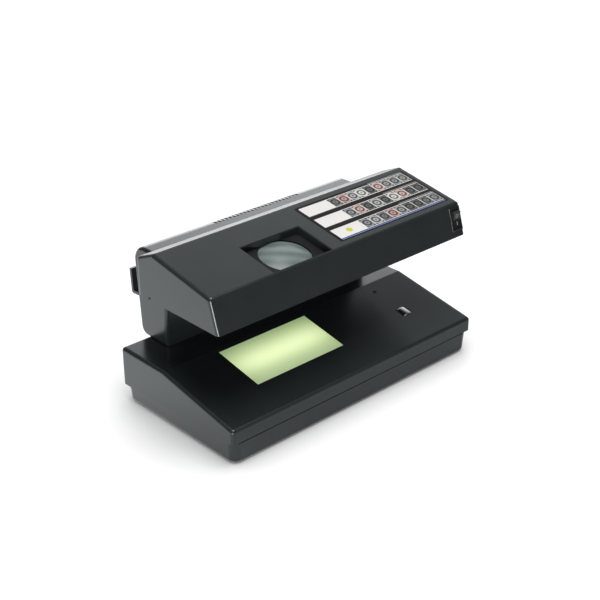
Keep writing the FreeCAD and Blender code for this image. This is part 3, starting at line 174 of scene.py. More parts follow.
# %% A table of stock finishes
METAL = {"Metallic": 1.0}
STOCK = {
    # Plated steel is a mottled pale grey. Spun and rolled aluminium are brighter, and rolled is the smoothest.
    "zinc_plated_steel": (("#a9adb0", "#c4c6c6"), 2.0, (0.26, 0.42), (0.5, 0.004), METAL),
    "spun_aluminium_cap": (("#b9bcbe", "#cfd1d2"), 4.0, (0.3, 0.42), (0.6, 0.003), METAL),
    "bright_rolled_aluminium": (("#cdd0d2", "#dfe1e2"), 14.0, (0.12, 0.2), (2.0, 0.003), METAL),
    # Brass shows warm through its tin, and core iron is dark under its varnish.
    "tinned_brass": (("#a58f52", "#c4b27a"), 2.0, (0.25, 0.4), (0.6, 0.003), METAL),
    "varnished_core_iron": (("#3a3633", "#4c4844"), 3.0, (0.35, 0.5), (0.5, 0.02), METAL),
    # Rubber comes out of its mould dull and nearly black.
    "moulded_foot_rubber": (("#17181a", "#202123"), 4.0, (0.7, 0.85), (0.6, 0.02), {"IOR": 1.52}),
    "moulded_gland_rubber": (("#1a1b1c", "#232425"), 4.0, (0.6, 0.75), (0.7, 0.015), {"IOR": 1.52}),
    # Socket plastic and stoved enamel are warm whites with a clear gloss.
    "white_socket_plastic": (("#dcdbd2", "#e6e5dd"), 8.0, (0.3, 0.4), (0.8, 0.004), {"IOR": 1.5}),
    "white_enamel_sheet": (("#e2e2dc", "#ecece7"), 20.0, (0.3, 0.45), (1.2, 0.006), {"IOR": 1.5}),
    # Board laminate is a deep, glassy green, and what stands on it is moulded or sleeved in near-black.
    "green_board_laminate": (("#123d22", "#1c5430"), 3.0, (0.3, 0.45), (1.0, 0.01), {"IOR": 1.55}),
    "buzzer_plastic": (("#141516", "#1c1d1e"), 3.0, (0.35, 0.5), (0.6, 0.006), {"IOR": 1.53}),
    "shrink_sleeved_parts": (("#22242b", "#31343d"), 5.0, (0.4, 0.55), (0.8, 0.01), {"IOR": 1.5}),
    # A braid is dull, and lumpy at the pitch of its yarns.
    "braided_wire_sleeve": (("#151617", "#2a2b2d"), 1.2, (0.6, 0.8), (0.8, 0.08), {"IOR": 1.5}),
    # Phosphor inside clear glass is a white body under a polished skin.
    "phosphor_coated_glass": (("#e4e8e2", "#eff2ec"), 10.0, (0.1, 0.18), (3.0, 0.002), {"IOR": 1.5}),
}
stock = {name: drifting(name, *recipe) for name, recipe in STOCK.items()}
print("stock finishes:", len(stock))

# %% [markdown]
# ## Glass: the black-light tubes
#
# A black-light tube is made of deep violet filter glass, which is nearly opaque to the eye and very glossy.
# A clear coat over a dark violet body gives that look without tracing light through the tube.

# %% Violet filter glass
STREAK = 9 * MM
violet_glass, tree, shader = start_finish("violet_filter_glass",
                                          {"Roughness": 0.08, "IOR": 1.52, "Coat Weight": 1.0})
place = add(tree, "TexCoord").outputs["Object"]
streak = add(tree, "TexNoise", {"Scale": 1 / STREAK, "Detail": 2.0}, {"Vector": place})
violet = add(tree, "Mix", {"data_type": "RGBA", COLOUR_A: linear("#130a2a"), COLOUR_B: linear("#221245")},
             {FACTOR: streak.outputs["Fac"]})
tree.links.new(violet.outputs[COLOUR_OUT], shader.inputs["Base Color"])
print("tube glass:", violet_glass.name)

# %% [markdown]
# ## The lit window: opal acrylic
#
# The window in the base is a sheet of opal acrylic over a small fluorescent tube. Opal acrylic scatters what
# comes through, so the tube shows as a soft band: brightest along its axis and fading towards the edges. The
# brightness is worked out from the distance to the tube's middle, x0 and y0, along it and across it, as
# exp(-((y - y0) / reach) squared - ((x - x0) / ends) to the power 4), and drives the emission of the sheet.

# %% Opal acrylic with the tube behind it
LAMP_LOW, LAMP_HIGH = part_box("watermark_lamp")
LAMP_MIDDLE = (LAMP_LOW + LAMP_HIGH) / 2
GLOW_REACH, GLOW_ENDS, OPAL_SPECK = 21 * MM, 62 * MM, 6 * MM
EDGE_GLOW, AXIS_GLOW = 0.15, 0.95
opal, tree, shader = start_finish("opal_acrylic_lit", {"Roughness": 0.22, "IOR": 1.49})
place = add(tree, "TexCoord").outputs["Object"]
centred = add(tree, "Mapping", {"vector_type": "TEXTURE", "Location": LAMP_MIDDLE,
                                "Scale": (GLOW_ENDS, GLOW_REACH, 1.0)}, {"Vector": place})
axes = add(tree, "SeparateXYZ", links={"Vector": centred.outputs["Vector"]})
across = add(tree, "Math", {"operation": "POWER", 1: 2.0}, {0: axes.outputs["Y"]})
along = add(tree, "Math", {"operation": "POWER", 1: 4.0}, {0: axes.outputs["X"]})
spread = add(tree, "Math", {"operation": "ADD"}, {0: across.outputs[0], 1: along.outputs[0]})
fade = add(tree, "Math", {"operation": "MULTIPLY", 1: -1.0}, {0: spread.outputs[0]})
glow = add(tree, "Math", {"operation": "EXPONENT"}, {0: fade.outputs[0]})
tint = add(tree, "Mix", {"data_type": "RGBA", COLOUR_A: linear("#93c163"), COLOUR_B: linear("#e3f3b6")},
           {FACTOR: glow.outputs[0]})
emitted = add(tree, "MapRange", {"To Min": EDGE_GLOW, "To Max": AXIS_GLOW}, {"Value": glow.outputs[0]})
speck = add(tree, "TexNoise", {"Scale": 1 / OPAL_SPECK, "Detail": 2.0}, {"Vector": place})
sheet = add(tree, "Mix", {"data_type": "RGBA", COLOUR_A: linear("#dfe6cc"), COLOUR_B: linear("#e8eed8")},
            {FACTOR: speck.outputs["Fac"]})
for socket, source in (("Base Color", sheet.outputs[COLOUR_OUT]), ("Emission Color", tint.outputs[COLOUR_OUT]),
                       ("Emission Strength", emitted.outputs["Result"])):
    tree.links.new(source, shader.inputs[socket])
print("window lit along y =", round(LAMP_MIDDLE.y / MM, 2), "mm")

# %% [markdown]
# ## The magnifier: moulded acrylic
#
# The lens is a single moulded acrylic dome. It is clear, with a blue-green cast, and a little milky. Its colour
# is pale partly for that milkiness and partly as painted reflection of the bright room, so that it reads paler
# than the dark well around it. A third of the light is let through and the rest is scattered, with a slightly
# hazed surface over both. A bent wave paints faint streaks of reflection into its colour as lighter bands,
# whose period is 0.1 pi over its scale.

# %% Milky acrylic, painted paler and streaked with painted reflection
REFLECTION_STREAK_PERIOD = 9 * MM
lens_acrylic, tree, shader = start_finish("moulded_lens_acrylic",
                                          {"Roughness": 0.3, "IOR": 1.49, "Transmission Weight": 0.35,
                                           "Specular IOR Level": 0.25})
place = add(tree, "TexCoord").outputs["Object"]
# The wave paints streaks of reflection as lighter bands in the lens's colour.
reflection_streaks = add(tree, "TexWave", {"bands_direction": "DIAGONAL", "Scale": 0.1 * math.pi / REFLECTION_STREAK_PERIOD,
                             "Distortion": 3.0, "Detail": 1.0, "Detail Scale": 0.4}, {"Vector": place})
# The pale colours are partly the milky acrylic and partly painted reflection of the bright room.
milky_with_painted_reflection = add(tree, "Mix", {"data_type": "RGBA", COLOUR_A: linear("#75837f"), COLOUR_B: linear("#8f9d9a")},
            {FACTOR: reflection_streaks.outputs["Fac"]})
tree.links.new(milky_with_painted_reflection.outputs[COLOUR_OUT], shader.inputs["Base Color"])
print("lens finish:", lens_acrylic.name)

# %% [markdown]
# ## The pick-up head and the indicator lamp
#
# The head that feels magnetic ink is a lapped chrome can. Lapping leaves hair-fine lines across its face,
# which stretch its highlights: a noise that is squeezed along one axis gives them, at 0.25 mm, because real
# ones are too fine to show. The indicator is a small red lamp behind smoked plastic, which is nearly black
# while it is off.

# %% Lapped chrome and smoked lamp plastic
HAIR_WIDTH, HAIR_LENGTH = 0.25 * MM, 8 * MM
chrome, tree, shader = start_finish("lapped_chrome", METAL)
place = add(tree, "TexCoord").outputs["Object"]
squeezed = add(tree, "Mapping", {"Scale": (1 / HAIR_WIDTH, 1 / HAIR_LENGTH, 1 / HAIR_LENGTH)}, {"Vector": place})
hairs = add(tree, "TexNoise", {"Scale": 1.0, "Detail": 2.0}, {"Vector": squeezed.outputs["Vector"]})
rough = add(tree, "MapRange", {"To Min": 0.08, "To Max": 0.22}, {"Value": hairs.outputs["Fac"]})
silver = add(tree, "Mix", {"data_type": "RGBA", COLOUR_A: linear("#c9ccce"), COLOUR_B: linear("#e4e6e7")},
             {FACTOR: hairs.outputs["Fac"]})
tree.links.new(rough.outputs["Result"], shader.inputs["Roughness"])
tree.links.new(silver.outputs[COLOUR_OUT], shader.inputs["Base Color"])
smoked = drifting("smoked_red_lamp_plastic", ("#0c0506", "#150809"), 1.0, (0.3, 0.4), (0.8, 0.002),
                  {"IOR": 1.5})
print("head and lamp:", chrome.name, smoked.name)

# %% [markdown]
# ## Dress the solids
#
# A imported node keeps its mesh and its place. It only gets a finish, in the material slot of that mesh.

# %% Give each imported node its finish
DRESS = {
    satin_abs: ("base_tray", "base_cover", "column_housing", "rear_cover", "cord_hook_left", "cord_hook_right",
                "hood_cover", "hood_underside"),
    inner_abs: ("head_holder", "led_spacer", "lens_carrier", "view_tunnel"),
    switch_abs: ("switch_body", "switch_rocker"),
    opal: ("light_window",),
    violet_glass: ("uv_lamp_front", "uv_lamp_rear"),
    smoked: ("indicator_led",),
    stock["zinc_plated_steel"]: ("column_screws", "hood_screws"),
    stock["spun_aluminium_cap"]: ("uv_lamp_caps", "watermark_lamp_caps"),
    stock["bright_rolled_aluminium"]: ("uv_reflector",),
    stock["white_enamel_sheet"]: ("watermark_reflector",),
    stock["white_socket_plastic"]: ("uv_lampholders", "watermark_lampholders"),
    stock["phosphor_coated_glass"]: ("watermark_lamp",),
    stock["moulded_foot_rubber"]: ("rubber_feet",),
    stock["moulded_gland_rubber"]: ("cord_gland",),
    stock["green_board_laminate"]: ("detector_board", "power_board", "ballast_board"),
    stock["buzzer_plastic"]: ("buzzer",),
    stock["varnished_core_iron"]: ("transformer",),
    stock["shrink_sleeved_parts"]: ("ballast_parts",),
    stock["tinned_brass"]: ("switch_terminals",),
    stock["braided_wire_sleeve"]: ("wiring_loom",),
}
for material, names in DRESS.items():
    for name in names:
        nodes[name].data.materials.clear()
        nodes[name].data.materials.append(material)
print("dressed:", sum(len(names) for names in DRESS.values()), "of", len(nodes))

# %% [markdown]
# ## Measure the faces that new pieces sit on
#
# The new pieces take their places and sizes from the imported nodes. Most of them sit on faces that lean about
# X, where a box along the axes says little. So a node is measured in the coordinates of its own face: x
# across, v up the face and w out of it. The lean comes from the normal of the node's largest flat triangle
# near a guessed lean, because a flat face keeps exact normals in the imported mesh.

# %% Face coordinates
LEAN_SEARCH = math.radians(15)
SIDEWAYS = 0.02


def tilted(points, lean):
    """Turns (x, y, z) back about X by the lean, which gives (x, v, w): v = y cos + z sin, w = z cos - y sin."""
    x, y, z = np.moveaxis(np.asarray(points, float), -1, 0)
    c, s = np.cos(lean), np.sin(lean)
    return np.stack([x, c * y + s * z, c * z - s * y], axis=-1)


def corners(node):
    """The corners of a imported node's triangles, in millimetres, as an array (triangles, 3, 3)."""
    mesh = nodes[node].data
    points = np.empty(3 * len(mesh.vertices))
    order = np.empty(3 * len(mesh.polygons), int)
    mesh.vertices.foreach_get("co", points)
    mesh.polygons.foreach_get("vertices", order)
    return points.reshape(-1, 3)[order].reshape(-1, 3, 3) / MM


def flat_lean(node, guess):
    """The lean of the largest triangle near the guess in degrees: atan2(-ny, nz) of its normal, in radians."""
    a, b, c = np.moveaxis(corners(node), 1, 0)
    normal = np.cross(b - a, c - a)
    lean = np.arctan2(-normal[:, 1], normal[:, 2])
    off = np.abs((lean - math.radians(guess) + np.pi) % (2 * np.pi) - np.pi)
    size = np.linalg.norm(normal, axis=1)
    fits = (off < LEAN_SEARCH) & (np.abs(normal[:, 0]) < SIDEWAYS * size)
    return lean[np.argmax(size * fits)]


def measured(node, lean):
    """The lowest and highest (x, v, w) of a node on a face with that lean."""
    points = tilted(corners(node).reshape(-1, 3), lean)
    return points.min(axis=0), points.max(axis=0)


HOOD_LEAN = flat_lean("legend_label", guess=10)
BASE_LEAN = flat_lean("light_window", guess=10)
REAR_LEAN = flat_lean("rear_cover", guess=-95)
DOWN_LEAN = math.pi
for name, lean in (("hood slope", HOOD_LEAN), ("base slope", BASE_LEAN), ("rear panel", REAR_LEAN)):
    print(name, "leans", round(math.degrees(lean), 3), "degrees")

# %% [markdown]
# ## Surfaces from rings
#
# A lens, a screw, a label and a switch mark are all closed skins that can be cut into rings with the same
# number of points. Neighbouring rings are joined by quads. The first and last ring are closed by a flat cap,
# or joined to each other where the skin runs in a circle. So one function turns an array of rings into a
# piece. Its normals are recalculated at the end, because rings alone don't say which side is out.

# %% Rings to piece
SHARP_EDGE = math.radians(35)


def ring_faces(rings, points, looped):
    """Quads from each ring to the next, counted through the flattened array, and the caps of an open run."""
    i, j = np.meshgrid(np.arange(rings - (not looped)), np.arange(points), indexing="ij")
    after_i, after_j = (i + 1) % rings, (j + 1) % points
    quads = np.stack([i * points + j, i * points + after_j,
                      after_i * points + after_j, after_i * points + j], -1)
    caps = [] if looped else [np.arange(points)[::-1], (rings - 1) * points + np.arange(points)]
    return [*quads.reshape(-1, 4), *caps]


def ring_piece(name, shells, lean, material, body, looped=False):
    """A piece from arrays (rings, points, 3) of (x, v, w) on a face of that lean, in millimetres."""
    starts = np.cumsum([0] + [shell[..., 0].size for shell in shells])
    faces = [(face + start).tolist() for shell, start in zip(shells, starts)
             for face in ring_faces(*shell.shape[:2], looped)]
    points = tilted(np.concatenate([shell.reshape(-1, 3) for shell in shells]), -lean) * MM
    mesh = bpy.data.meshes.new(name)
    mesh.from_pydata(points.tolist(), [], faces)
    work = bmesh.new()
    work.from_mesh(mesh)
    bmesh.ops.recalc_face_normals(work, faces=work.faces)
    work.to_mesh(mesh)
    work.free()
    mesh.materials.append(material)
    mesh.shade_smooth()
    mesh.set_sharp_from_angle(angle=SHARP_EDGE)
    piece = bpy.data.objects.new(name, mesh)
    bpy.context.scene.collection.objects.link(piece)
    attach(piece, body)
    print(name, "has", len(mesh.polygons), "faces")
    return piece


print("faces of a box from two rings of four points:", len(ring_faces(2, 4, False)))

# %% [markdown]
# ## The lens
#
# A plano-convex lens has a flat back, a straight rim and a spherical dome. With a dome of height h over a rim
# of radius r, the sphere has the radius R = (r squared + h squared) / 2h, and at the distance a from the axis
# the dome stands sqrt(R squared - a squared) - (R - h) above the rim. The distances are spaced by a sine,
# which puts more rings near the rim, where the dome falls away fastest.

# %% Lens
LENS_DOME, LENS_EDGE = 4.6, 0.3
LENS_POINTS, DOME_RINGS, DOME_START = 96, 24, 0.02
low, high = measured("lens", HOOD_LEAN)
lens_x, lens_v = ((low + high) / 2)[:2]
lens_radius = (high[0] - low[0]) / 2
ball = (lens_radius ** 2 + LENS_DOME ** 2) / (2 * LENS_DOME)
turn = np.linspace(0, 2 * np.pi, LENS_POINTS, endpoint=False)
dome_r = lens_radius * np.sin(np.linspace(DOME_START, np.pi / 2, DOME_RINGS))
dome_w = high[2] - ball + np.sqrt(ball ** 2 - dome_r ** 2)
lens_r = np.append(dome_r, [lens_radius, lens_radius - LENS_EDGE])
lens_w = np.append(dome_w, [low[2] + LENS_EDGE, low[2]])
lens_rings = np.stack([lens_x + np.outer(lens_r, np.cos(turn)), lens_v + np.outer(lens_r, np.sin(turn)),
                       np.outer(lens_w, np.ones_like(turn))], axis=-1)
lens_piece = ring_piece("magnifier_lens", [lens_rings], HOOD_LEAN, lens_acrylic, "machine")
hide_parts("lens")

# %% [markdown]
# ## Screws with a cross recess
#
# The screws that show are pan heads with a cross recess. In polar form, the outline of a cross with arms of
# half width b and reach a is r(t) = max(min(a / |cos t|, b / |sin t|), min(a / |sin t|, b / |cos t|)). A small
# ring of that outline at the bottom of the recess and a full one at the top give it crisp walls. Round rings
# then carry on over the crown to the rim and down the shank.

# %% One screw as rings
HEAD_RADIUS, HEAD_HEIGHT, SHANK_RADIUS = 2.9, 2.2, 1.45
CROWN_ROUND = 0.8
CROSS_REACH, CROSS_HALF, CROSS_DEPTH = 1.75, 0.47, 1.2
CROSS_FLOOR = 0.5
POINT_LENGTH = 0.8
FIRST_ANGLE, ANGLE_STEP, CROWN_RINGS = 0.01, 5, 7


def screw_rings(length):
    """Rings (n, 72, 3) about the w axis: recess, crown, rim and shank, with the head's seat at w = 0."""
    # The first angle is just off zero, where the outline of the cross would divide by zero.
    angle = np.radians(np.arange(FIRST_ANGLE, 360, ANGLE_STEP))
    c, s = np.abs(np.cos(angle)), np.abs(np.sin(angle))
    cross = np.maximum(np.minimum(CROSS_REACH / c, CROSS_HALF / s), np.minimum(CROSS_REACH / s, CROSS_HALF / c))
    bend = np.linspace(0, np.pi / 2, CROWN_RINGS)
    crown_r = HEAD_RADIUS - CROWN_ROUND * (1 - np.sin(bend))
    crown_w = HEAD_HEIGHT - CROWN_ROUND * (1 - np.cos(bend))
    round_r = np.append(crown_r, [HEAD_RADIUS, SHANK_RADIUS, SHANK_RADIUS, SHANK_RADIUS / 2])
    round_w = np.append(crown_w, [0, 0, POINT_LENGTH - length, -length])
    radius = np.concatenate([[CROSS_FLOOR * cross, cross], np.outer(round_r, np.ones_like(angle))])
    height = np.concatenate([[HEAD_HEIGHT - CROSS_DEPTH, HEAD_HEIGHT], round_w])
    return np.stack([radius * np.cos(angle), radius * np.sin(angle),
                     np.outer(height, np.ones_like(angle))], axis=-1)


print("rings in a screw:", len(screw_rings(10.0)))

# %% [markdown]
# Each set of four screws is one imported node, so the box of the set gives the four axes: they stand a head's
# radius inside its sides. Under the base and the hood the face looks down, which is a lean of half a turn.

# %% Place the screws that show
SCREW_SETS = (("base_screws", DOWN_LEAN), ("underside_screws", DOWN_LEAN), ("rear_cover_screws", REAR_LEAN))
for name, lean in SCREW_SETS:
    low, high = measured(name, lean)
    seat = high[2] - HEAD_HEIGHT
    rings = screw_rings(seat - low[2])
    shells = [rings + [x, v, seat] for x in (low[0] + HEAD_RADIUS, high[0] - HEAD_RADIUS)
              for v in (low[1] + HEAD_RADIUS, high[1] - HEAD_RADIUS)]
    screws = ring_piece("cross_" + name, shells, lean, stock["zinc_plated_steel"], "machine")
    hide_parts(name)

# %% [markdown]
# ## The pick-up head
#
# The head that feels magnetic ink is a small can whose face is an arch, so that paper slides over it, with a
# fine gap across the middle of the arch. The form is one outline, the arch with its gap, carried along the
# slope in steps. The first and last steps are drawn in along a quarter circle, which rounds the ends.

# %% Pick-up head
ARCH_RADIUS = 10.0
GAP_HALF, GAP_DEPTH, GAP_WALL = 0.16, 0.35, 0.04
SHOULDER, END_ROUND = 0.3, 0.5
ARCH_STEPS, END_STEPS = 18, 6
low, high = measured("magnetic_head", BASE_LEAN)
half_width = (high[0] - low[0]) / 2
side = np.append([0, GAP_HALF - GAP_WALL], np.linspace(GAP_HALF, half_width - SHOULDER, ARCH_STEPS))
arch_x = np.concatenate([-side[:0:-1], side])
arch_w = high[2] - ARCH_RADIUS + np.sqrt(ARCH_RADIUS ** 2 - arch_x ** 2)
arch_w -= GAP_DEPTH * (np.abs(arch_x) < GAP_HALF)
can_x = half_width * np.array([1, 1, -1, -1])
can_w = np.array([arch_w[-1] - SHOULDER, low[2], low[2], arch_w[0] - SHOULDER])
outline_x, outline_w = np.append(arch_x, can_x), np.append(arch_w, can_w)
bend = np.linspace(0, np.pi / 2, END_STEPS)
steps = np.append(low[1] + END_ROUND * (1 - np.cos(bend)), high[1] - END_ROUND * (1 - np.cos(bend[::-1])))
drawn = END_ROUND * (1 - np.sin(np.append(bend, bend[::-1])))
head_rings = np.stack([(low[0] + high[0]) / 2 + np.outer(1 - drawn / half_width, outline_x),
                       np.outer(steps, np.ones_like(outline_x)),
                       np.maximum(np.add.outer(-drawn, outline_w), low[2])], axis=-1)
head_piece = ring_piece("pick_up_head", [head_rings], BASE_LEAN, chrome, "machine")
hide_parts("magnetic_head")

# %% [markdown]
# ## The chart on the label
#
# A vinyl label with a reference chart is stuck on the slope of the hood. Its print is generic: three pale
# strips on matt black, each with blank cells at its start and small tinted tiles after them, and each tile
# with an ornament of rings. Object coordinates are turned onto the face and counted in tiles. The whole part
# of the count names a tile, and the remainder, taken back to millimetres from the tile's middle, draws it.

# %% Tiles of the chart
ROWS, COLUMNS = 3, 12
END_MARGIN, STRIP_HALF = 2.4, 6.7
TILE_MIDDLE = (0.5, 0.5, 0)
label_low, label_high = measured("legend_label", HOOD_LEAN)
pitch = ((label_high - label_low)[:2] - [2 * END_MARGIN, 0]) / [COLUMNS, ROWS]
label_print, tree, shader = start_finish("printed_matt_vinyl", {"Roughness": 0.5, "IOR": 1.5,
                                                                "Specular IOR Level": 0.12})
place = add(tree, "TexCoord").outputs["Object"]
first_corner = tilted(label_low + [END_MARGIN, 0, 0], -HOOD_LEAN)
tiles = add(tree, "Mapping", {"vector_type": "TEXTURE", "Rotation": (HOOD_LEAN, 0, 0),
                              "Scale": (*pitch * MM, 1.0), "Location": first_corner * MM}, {"Vector": place})
number = add(tree, "VectorMath", {"operation": "FLOOR"}, {0: tiles.outputs[0]})
within = add(tree, "VectorMath", {"operation": "FRACTION"}, {0: tiles.outputs[0]})
centred = add(tree, "VectorMath", {"operation": "SUBTRACT", 1: TILE_MIDDLE}, {0: within.outputs[0]})
offset = add(tree, "VectorMath", {"operation": "MULTIPLY", 1: (*pitch, 0)}, {0: centred.outputs[0]})
cell = add(tree, "SeparateXYZ", links={"Vector": number.outputs[0]})
spot = add(tree, "SeparateXYZ", links={"Vector": offset.outputs[0]})
print("chart tile:", pitch.round(2), "mm")

# %% [markdown]
# Everything on the chart is a band: where a number lies within some reach of a middle. A strip is a band of
# its row that ends with the columns. A tile is a band both ways, inside a strip and past the blank cells. A
# hairline runs over the last tiles of each row, and a rule along the foot of the label.

# %% Bands of the chart
TILE_MARGIN, FIRST_TILE, CELL_SLACK = 0.7, 3, 0.25
HAIRLINE_HEIGHT, HAIRLINE_HALF, HAIRLINE_CELLS = 7.9, 0.28, 4
RULE_HEIGHT, RULE_HALF = -8.0, 0.45


def band(source, middle, half, inside=None):
    """1 where the source is within half of the middle, times another band if there is one."""
    found = add(tree, "Math", {"operation": "COMPARE", 1: middle, 2: half}, {0: source}).outputs[0]
    if inside is None:
        return found
    return add(tree, "Math", {"operation": "MULTIPLY"}, {0: found, 1: inside}).outputs[0]


def cells(axis, first, last, inside=None):
    """1 in the cells from the first to the last, which are whole numbers."""
    return band(cell.outputs[axis], (first + last) / 2, (last - first) / 2 + CELL_SLACK, inside)


on_chart = cells("X", 0, COLUMNS - 1)
on_strip = band(spot.outputs["Y"], 0, STRIP_HALF, on_chart)
at_tiles = band(spot.outputs["Y"], 0, STRIP_HALF - TILE_MARGIN)
on_cell = band(spot.outputs["X"], 0, (pitch[0] - TILE_MARGIN) / 2, at_tiles)
on_tile = cells("X", FIRST_TILE, COLUMNS - 1, on_cell)
at_hairline = band(spot.outputs["Y"], HAIRLINE_HEIGHT, HAIRLINE_HALF)
on_hairline = cells("X", COLUMNS - HAIRLINE_CELLS, COLUMNS - 1, at_hairline)
on_rule = cells("Y", 0, 0, band(spot.outputs["Y"], RULE_HEIGHT, RULE_HALF, on_chart))
print("tiles in a row:", COLUMNS - FIRST_TILE)

# %% [markdown]
# The tints are a short list of greys with a little rose, and white noise on the tile's number picks one of
# them. The rings of the ornament are the cosine of the distance to the tile's middle. A round yellow patch
# marks one of the blank cells.

# %% Inks of the chart
TINTS = ("#8f9190", "#c9c8c4", "#585a5b", "#b3928e", "#a5a7a6", "#84888c", "#c0a5a0", "#6c6f70")
MATT_BLACK, PALE_STRIP, RING_INK = "#0d0809", "#dcdad7", "#4a4746"
GREY_INK, BLUE_INK, YELLOW_INK = "#a9a6a4", "#7286bd", "#c9bf4a"
RING_PITCH, RING_FROM, RING_FULL, RING_SHARE = 3.3, -0.3, 0.4, 0.9
PATCH_RADIUS, PATCH_COLUMN = 2.8, 1
chance = add(tree, "TexWhiteNoise", {"noise_dimensions": "2D"}, {"Vector": number.outputs[0]})
tint = add(tree, "ValToRGB", links={"Fac": chance.outputs["Value"]})
tint.color_ramp.interpolation = "CONSTANT"
while len(tint.color_ramp.elements) < len(TINTS):
    tint.color_ramp.elements.new(0.5)
for i, colour in enumerate(TINTS):
    tint.color_ramp.elements[i].position = i / len(TINTS)
    tint.color_ramp.elements[i].color = linear(colour)
reach = add(tree, "VectorMath", {"operation": "LENGTH"}, {0: offset.outputs[0]})
swing = add(tree, "Math", {"operation": "MULTIPLY", 1: 2 * math.pi / RING_PITCH}, {0: reach.outputs["Value"]})
wave = add(tree, "Math", {"operation": "COSINE"}, {0: swing.outputs[0]})
ring = add(tree, "MapRange", {"From Min": RING_FROM, "From Max": RING_FULL, "To Max": RING_SHARE},
           {"Value": wave.outputs[0]})
inked = add(tree, "Mix", {"data_type": "RGBA", "blend_type": "MULTIPLY", COLOUR_B: linear(RING_INK)},
            {FACTOR: ring.outputs["Result"], COLOUR_A: tint.outputs["Color"]})
in_patch = band(reach.outputs["Value"], 0, PATCH_RADIUS)
on_patch = cells("Y", 0, 0, cells("X", PATCH_COLUMN, PATCH_COLUMN, in_patch))
strips = add(tree, "Mix", {"data_type": "RGBA", COLOUR_A: linear(MATT_BLACK), COLOUR_B: linear(PALE_STRIP)},
             {FACTOR: on_strip})
printed = add(tree, "Mix", {"data_type": "RGBA"}, {FACTOR: on_tile, COLOUR_A: strips.outputs[COLOUR_OUT],
                                                   COLOUR_B: inked.outputs[COLOUR_OUT]})
for where, ink in ((on_hairline, GREY_INK), (on_rule, BLUE_INK), (on_patch, YELLOW_INK)):
    printed = add(tree, "Mix", {"data_type": "RGBA", COLOUR_B: linear(ink)},
                  {FACTOR: where, COLOUR_A: printed.outputs[COLOUR_OUT]})
tree.links.new(printed.outputs[COLOUR_OUT], shader.inputs["Base Color"])
print("label tints:", len(TINTS))

# %% [markdown]
# ## The label film
#
# The film itself is a thin sheet with rounded corners. Its outline is four quarter circles, which are mirror
# images of one, and rings of that outline at the foot, near the top and just inside the top make a skin
# whose edge catches the light a little.

# %% Label film
CORNER_RADIUS, CORNER_POINTS, FILM_BEVEL = 1.2, 9, 0.06
label_half = (label_high - label_low)[:2] / 2
bend = np.linspace(0, np.pi / 2, CORNER_POINTS)
quarter = label_half - CORNER_RADIUS + CORNER_RADIUS * np.stack([np.cos(bend), np.sin(bend)], -1)
outline = np.concatenate([quarter, (quarter * [-1, 1])[::-1], quarter * [-1, -1], (quarter * [1, -1])[::-1]])
film_rings = np.stack([np.column_stack([outline * (1 - inset / label_half) + (label_low + label_high)[:2] / 2,
                                        np.full(len(outline), w)])
                       for inset, w in ((0, label_low[2]), (0, label_high[2] - FILM_BEVEL),
                                        (FILM_BEVEL, label_high[2]))])
label_piece = ring_piece("chart_label", [film_rings], HOOD_LEAN, label_print, "machine")
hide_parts("legend_label")

# %% [markdown]
# ## Marks on the switch
#
# A rocker switch is marked with a bar for on and a ring for off, filled with white paint. Each half of the
# key is a flat face with its own lean, so the marks are laid on the two faces and ride on the key. The ring
# is a small square profile carried round a circle, and the bar is a rounded outline raised by the paint.

# %% Bar and ring of paint
MARK_REACH, MARK_WIDTH, PAINT = 1.5, 0.7, 0.05
FRONT_GUESS, LEVEL_ERROR = 72, 0.01
# Old marking paint is a dull, greyed white.
white_paint = drifting("worn_white_marking_paint", ("#9fa19f", "#b0b2af"), 1.0, (0.45, 0.6), (0.5, 0.004),
                       {"IOR": 1.5})


def key_face(guess):
    """The lean of one half of the key and the (x, v, w) box of the triangles that lie in that half."""
    lean = flat_lean("switch_rocker", guess)
    triangles = tilted(corners("switch_rocker"), lean)
    flat = triangles[np.ptp(triangles[..., 2], axis=1) < LEVEL_ERROR]
    a, b, c = np.moveaxis(flat, 1, 0)
    area = np.cross(b - a, c - a)[:, 2]
    level = flat[np.argmax(area), 0, 2]
    points = flat[np.abs(flat[:, 0, 2] - level) < LEVEL_ERROR].reshape(-1, 3)
    return lean, points.min(axis=0), points.max(axis=0)


front_lean = math.degrees(flat_lean("switch_body", FRONT_GUESS))
print("hood front leans", round(front_lean, 3), "degrees")

# %% [markdown]
# The half of the key that is pressed in lies flush with the hood's front, and the other half leans away from
# it by the whole travel of the key.

# %% Lay the marks on the key
KEY_TRAVEL = 22
MARK_POINTS, BAR_TOP, RING_SLANT = 40, 0.9, 0.1
bend = np.linspace(0, 2 * np.pi, MARK_POINTS, endpoint=False)
half = MARK_WIDTH / 2
for name, guess in (("switch_mark_off", front_lean + KEY_TRAVEL), ("switch_mark_on", front_lean)):
    lean, low, high = key_face(guess)
    middle_x, middle_v = ((low + high) / 2)[:2]
    foot = high[2]
    if name == "switch_mark_on":
        bar = np.stack([half * np.cos(bend),
                        half * np.sin(bend) + np.sign(np.sin(bend)) * (MARK_REACH - half)], -1)
        rings = np.stack([np.column_stack([middle_x + size * bar[:, 0], middle_v + size * bar[:, 1],
                                           np.full(len(bar), foot + rise)])
                          for size, rise in ((1, -PAINT), (1, PAINT / 2), (BAR_TOP, PAINT))])
    else:
        profile_r = MARK_REACH - half * np.array([0, RING_SLANT, 1 + RING_SLANT, 1 + 2 * RING_SLANT])
        profile_w = foot + PAINT * np.array([-1, 1, 1, -1])
        rings = np.stack([middle_x + np.outer(np.cos(bend), profile_r),
                          middle_v + np.outer(np.sin(bend), profile_r),
                          np.outer(np.ones_like(bend), profile_w)], axis=-1)
    ring_piece(name, [rings], lean, white_paint, "rocker", looped=name == "switch_mark_off")

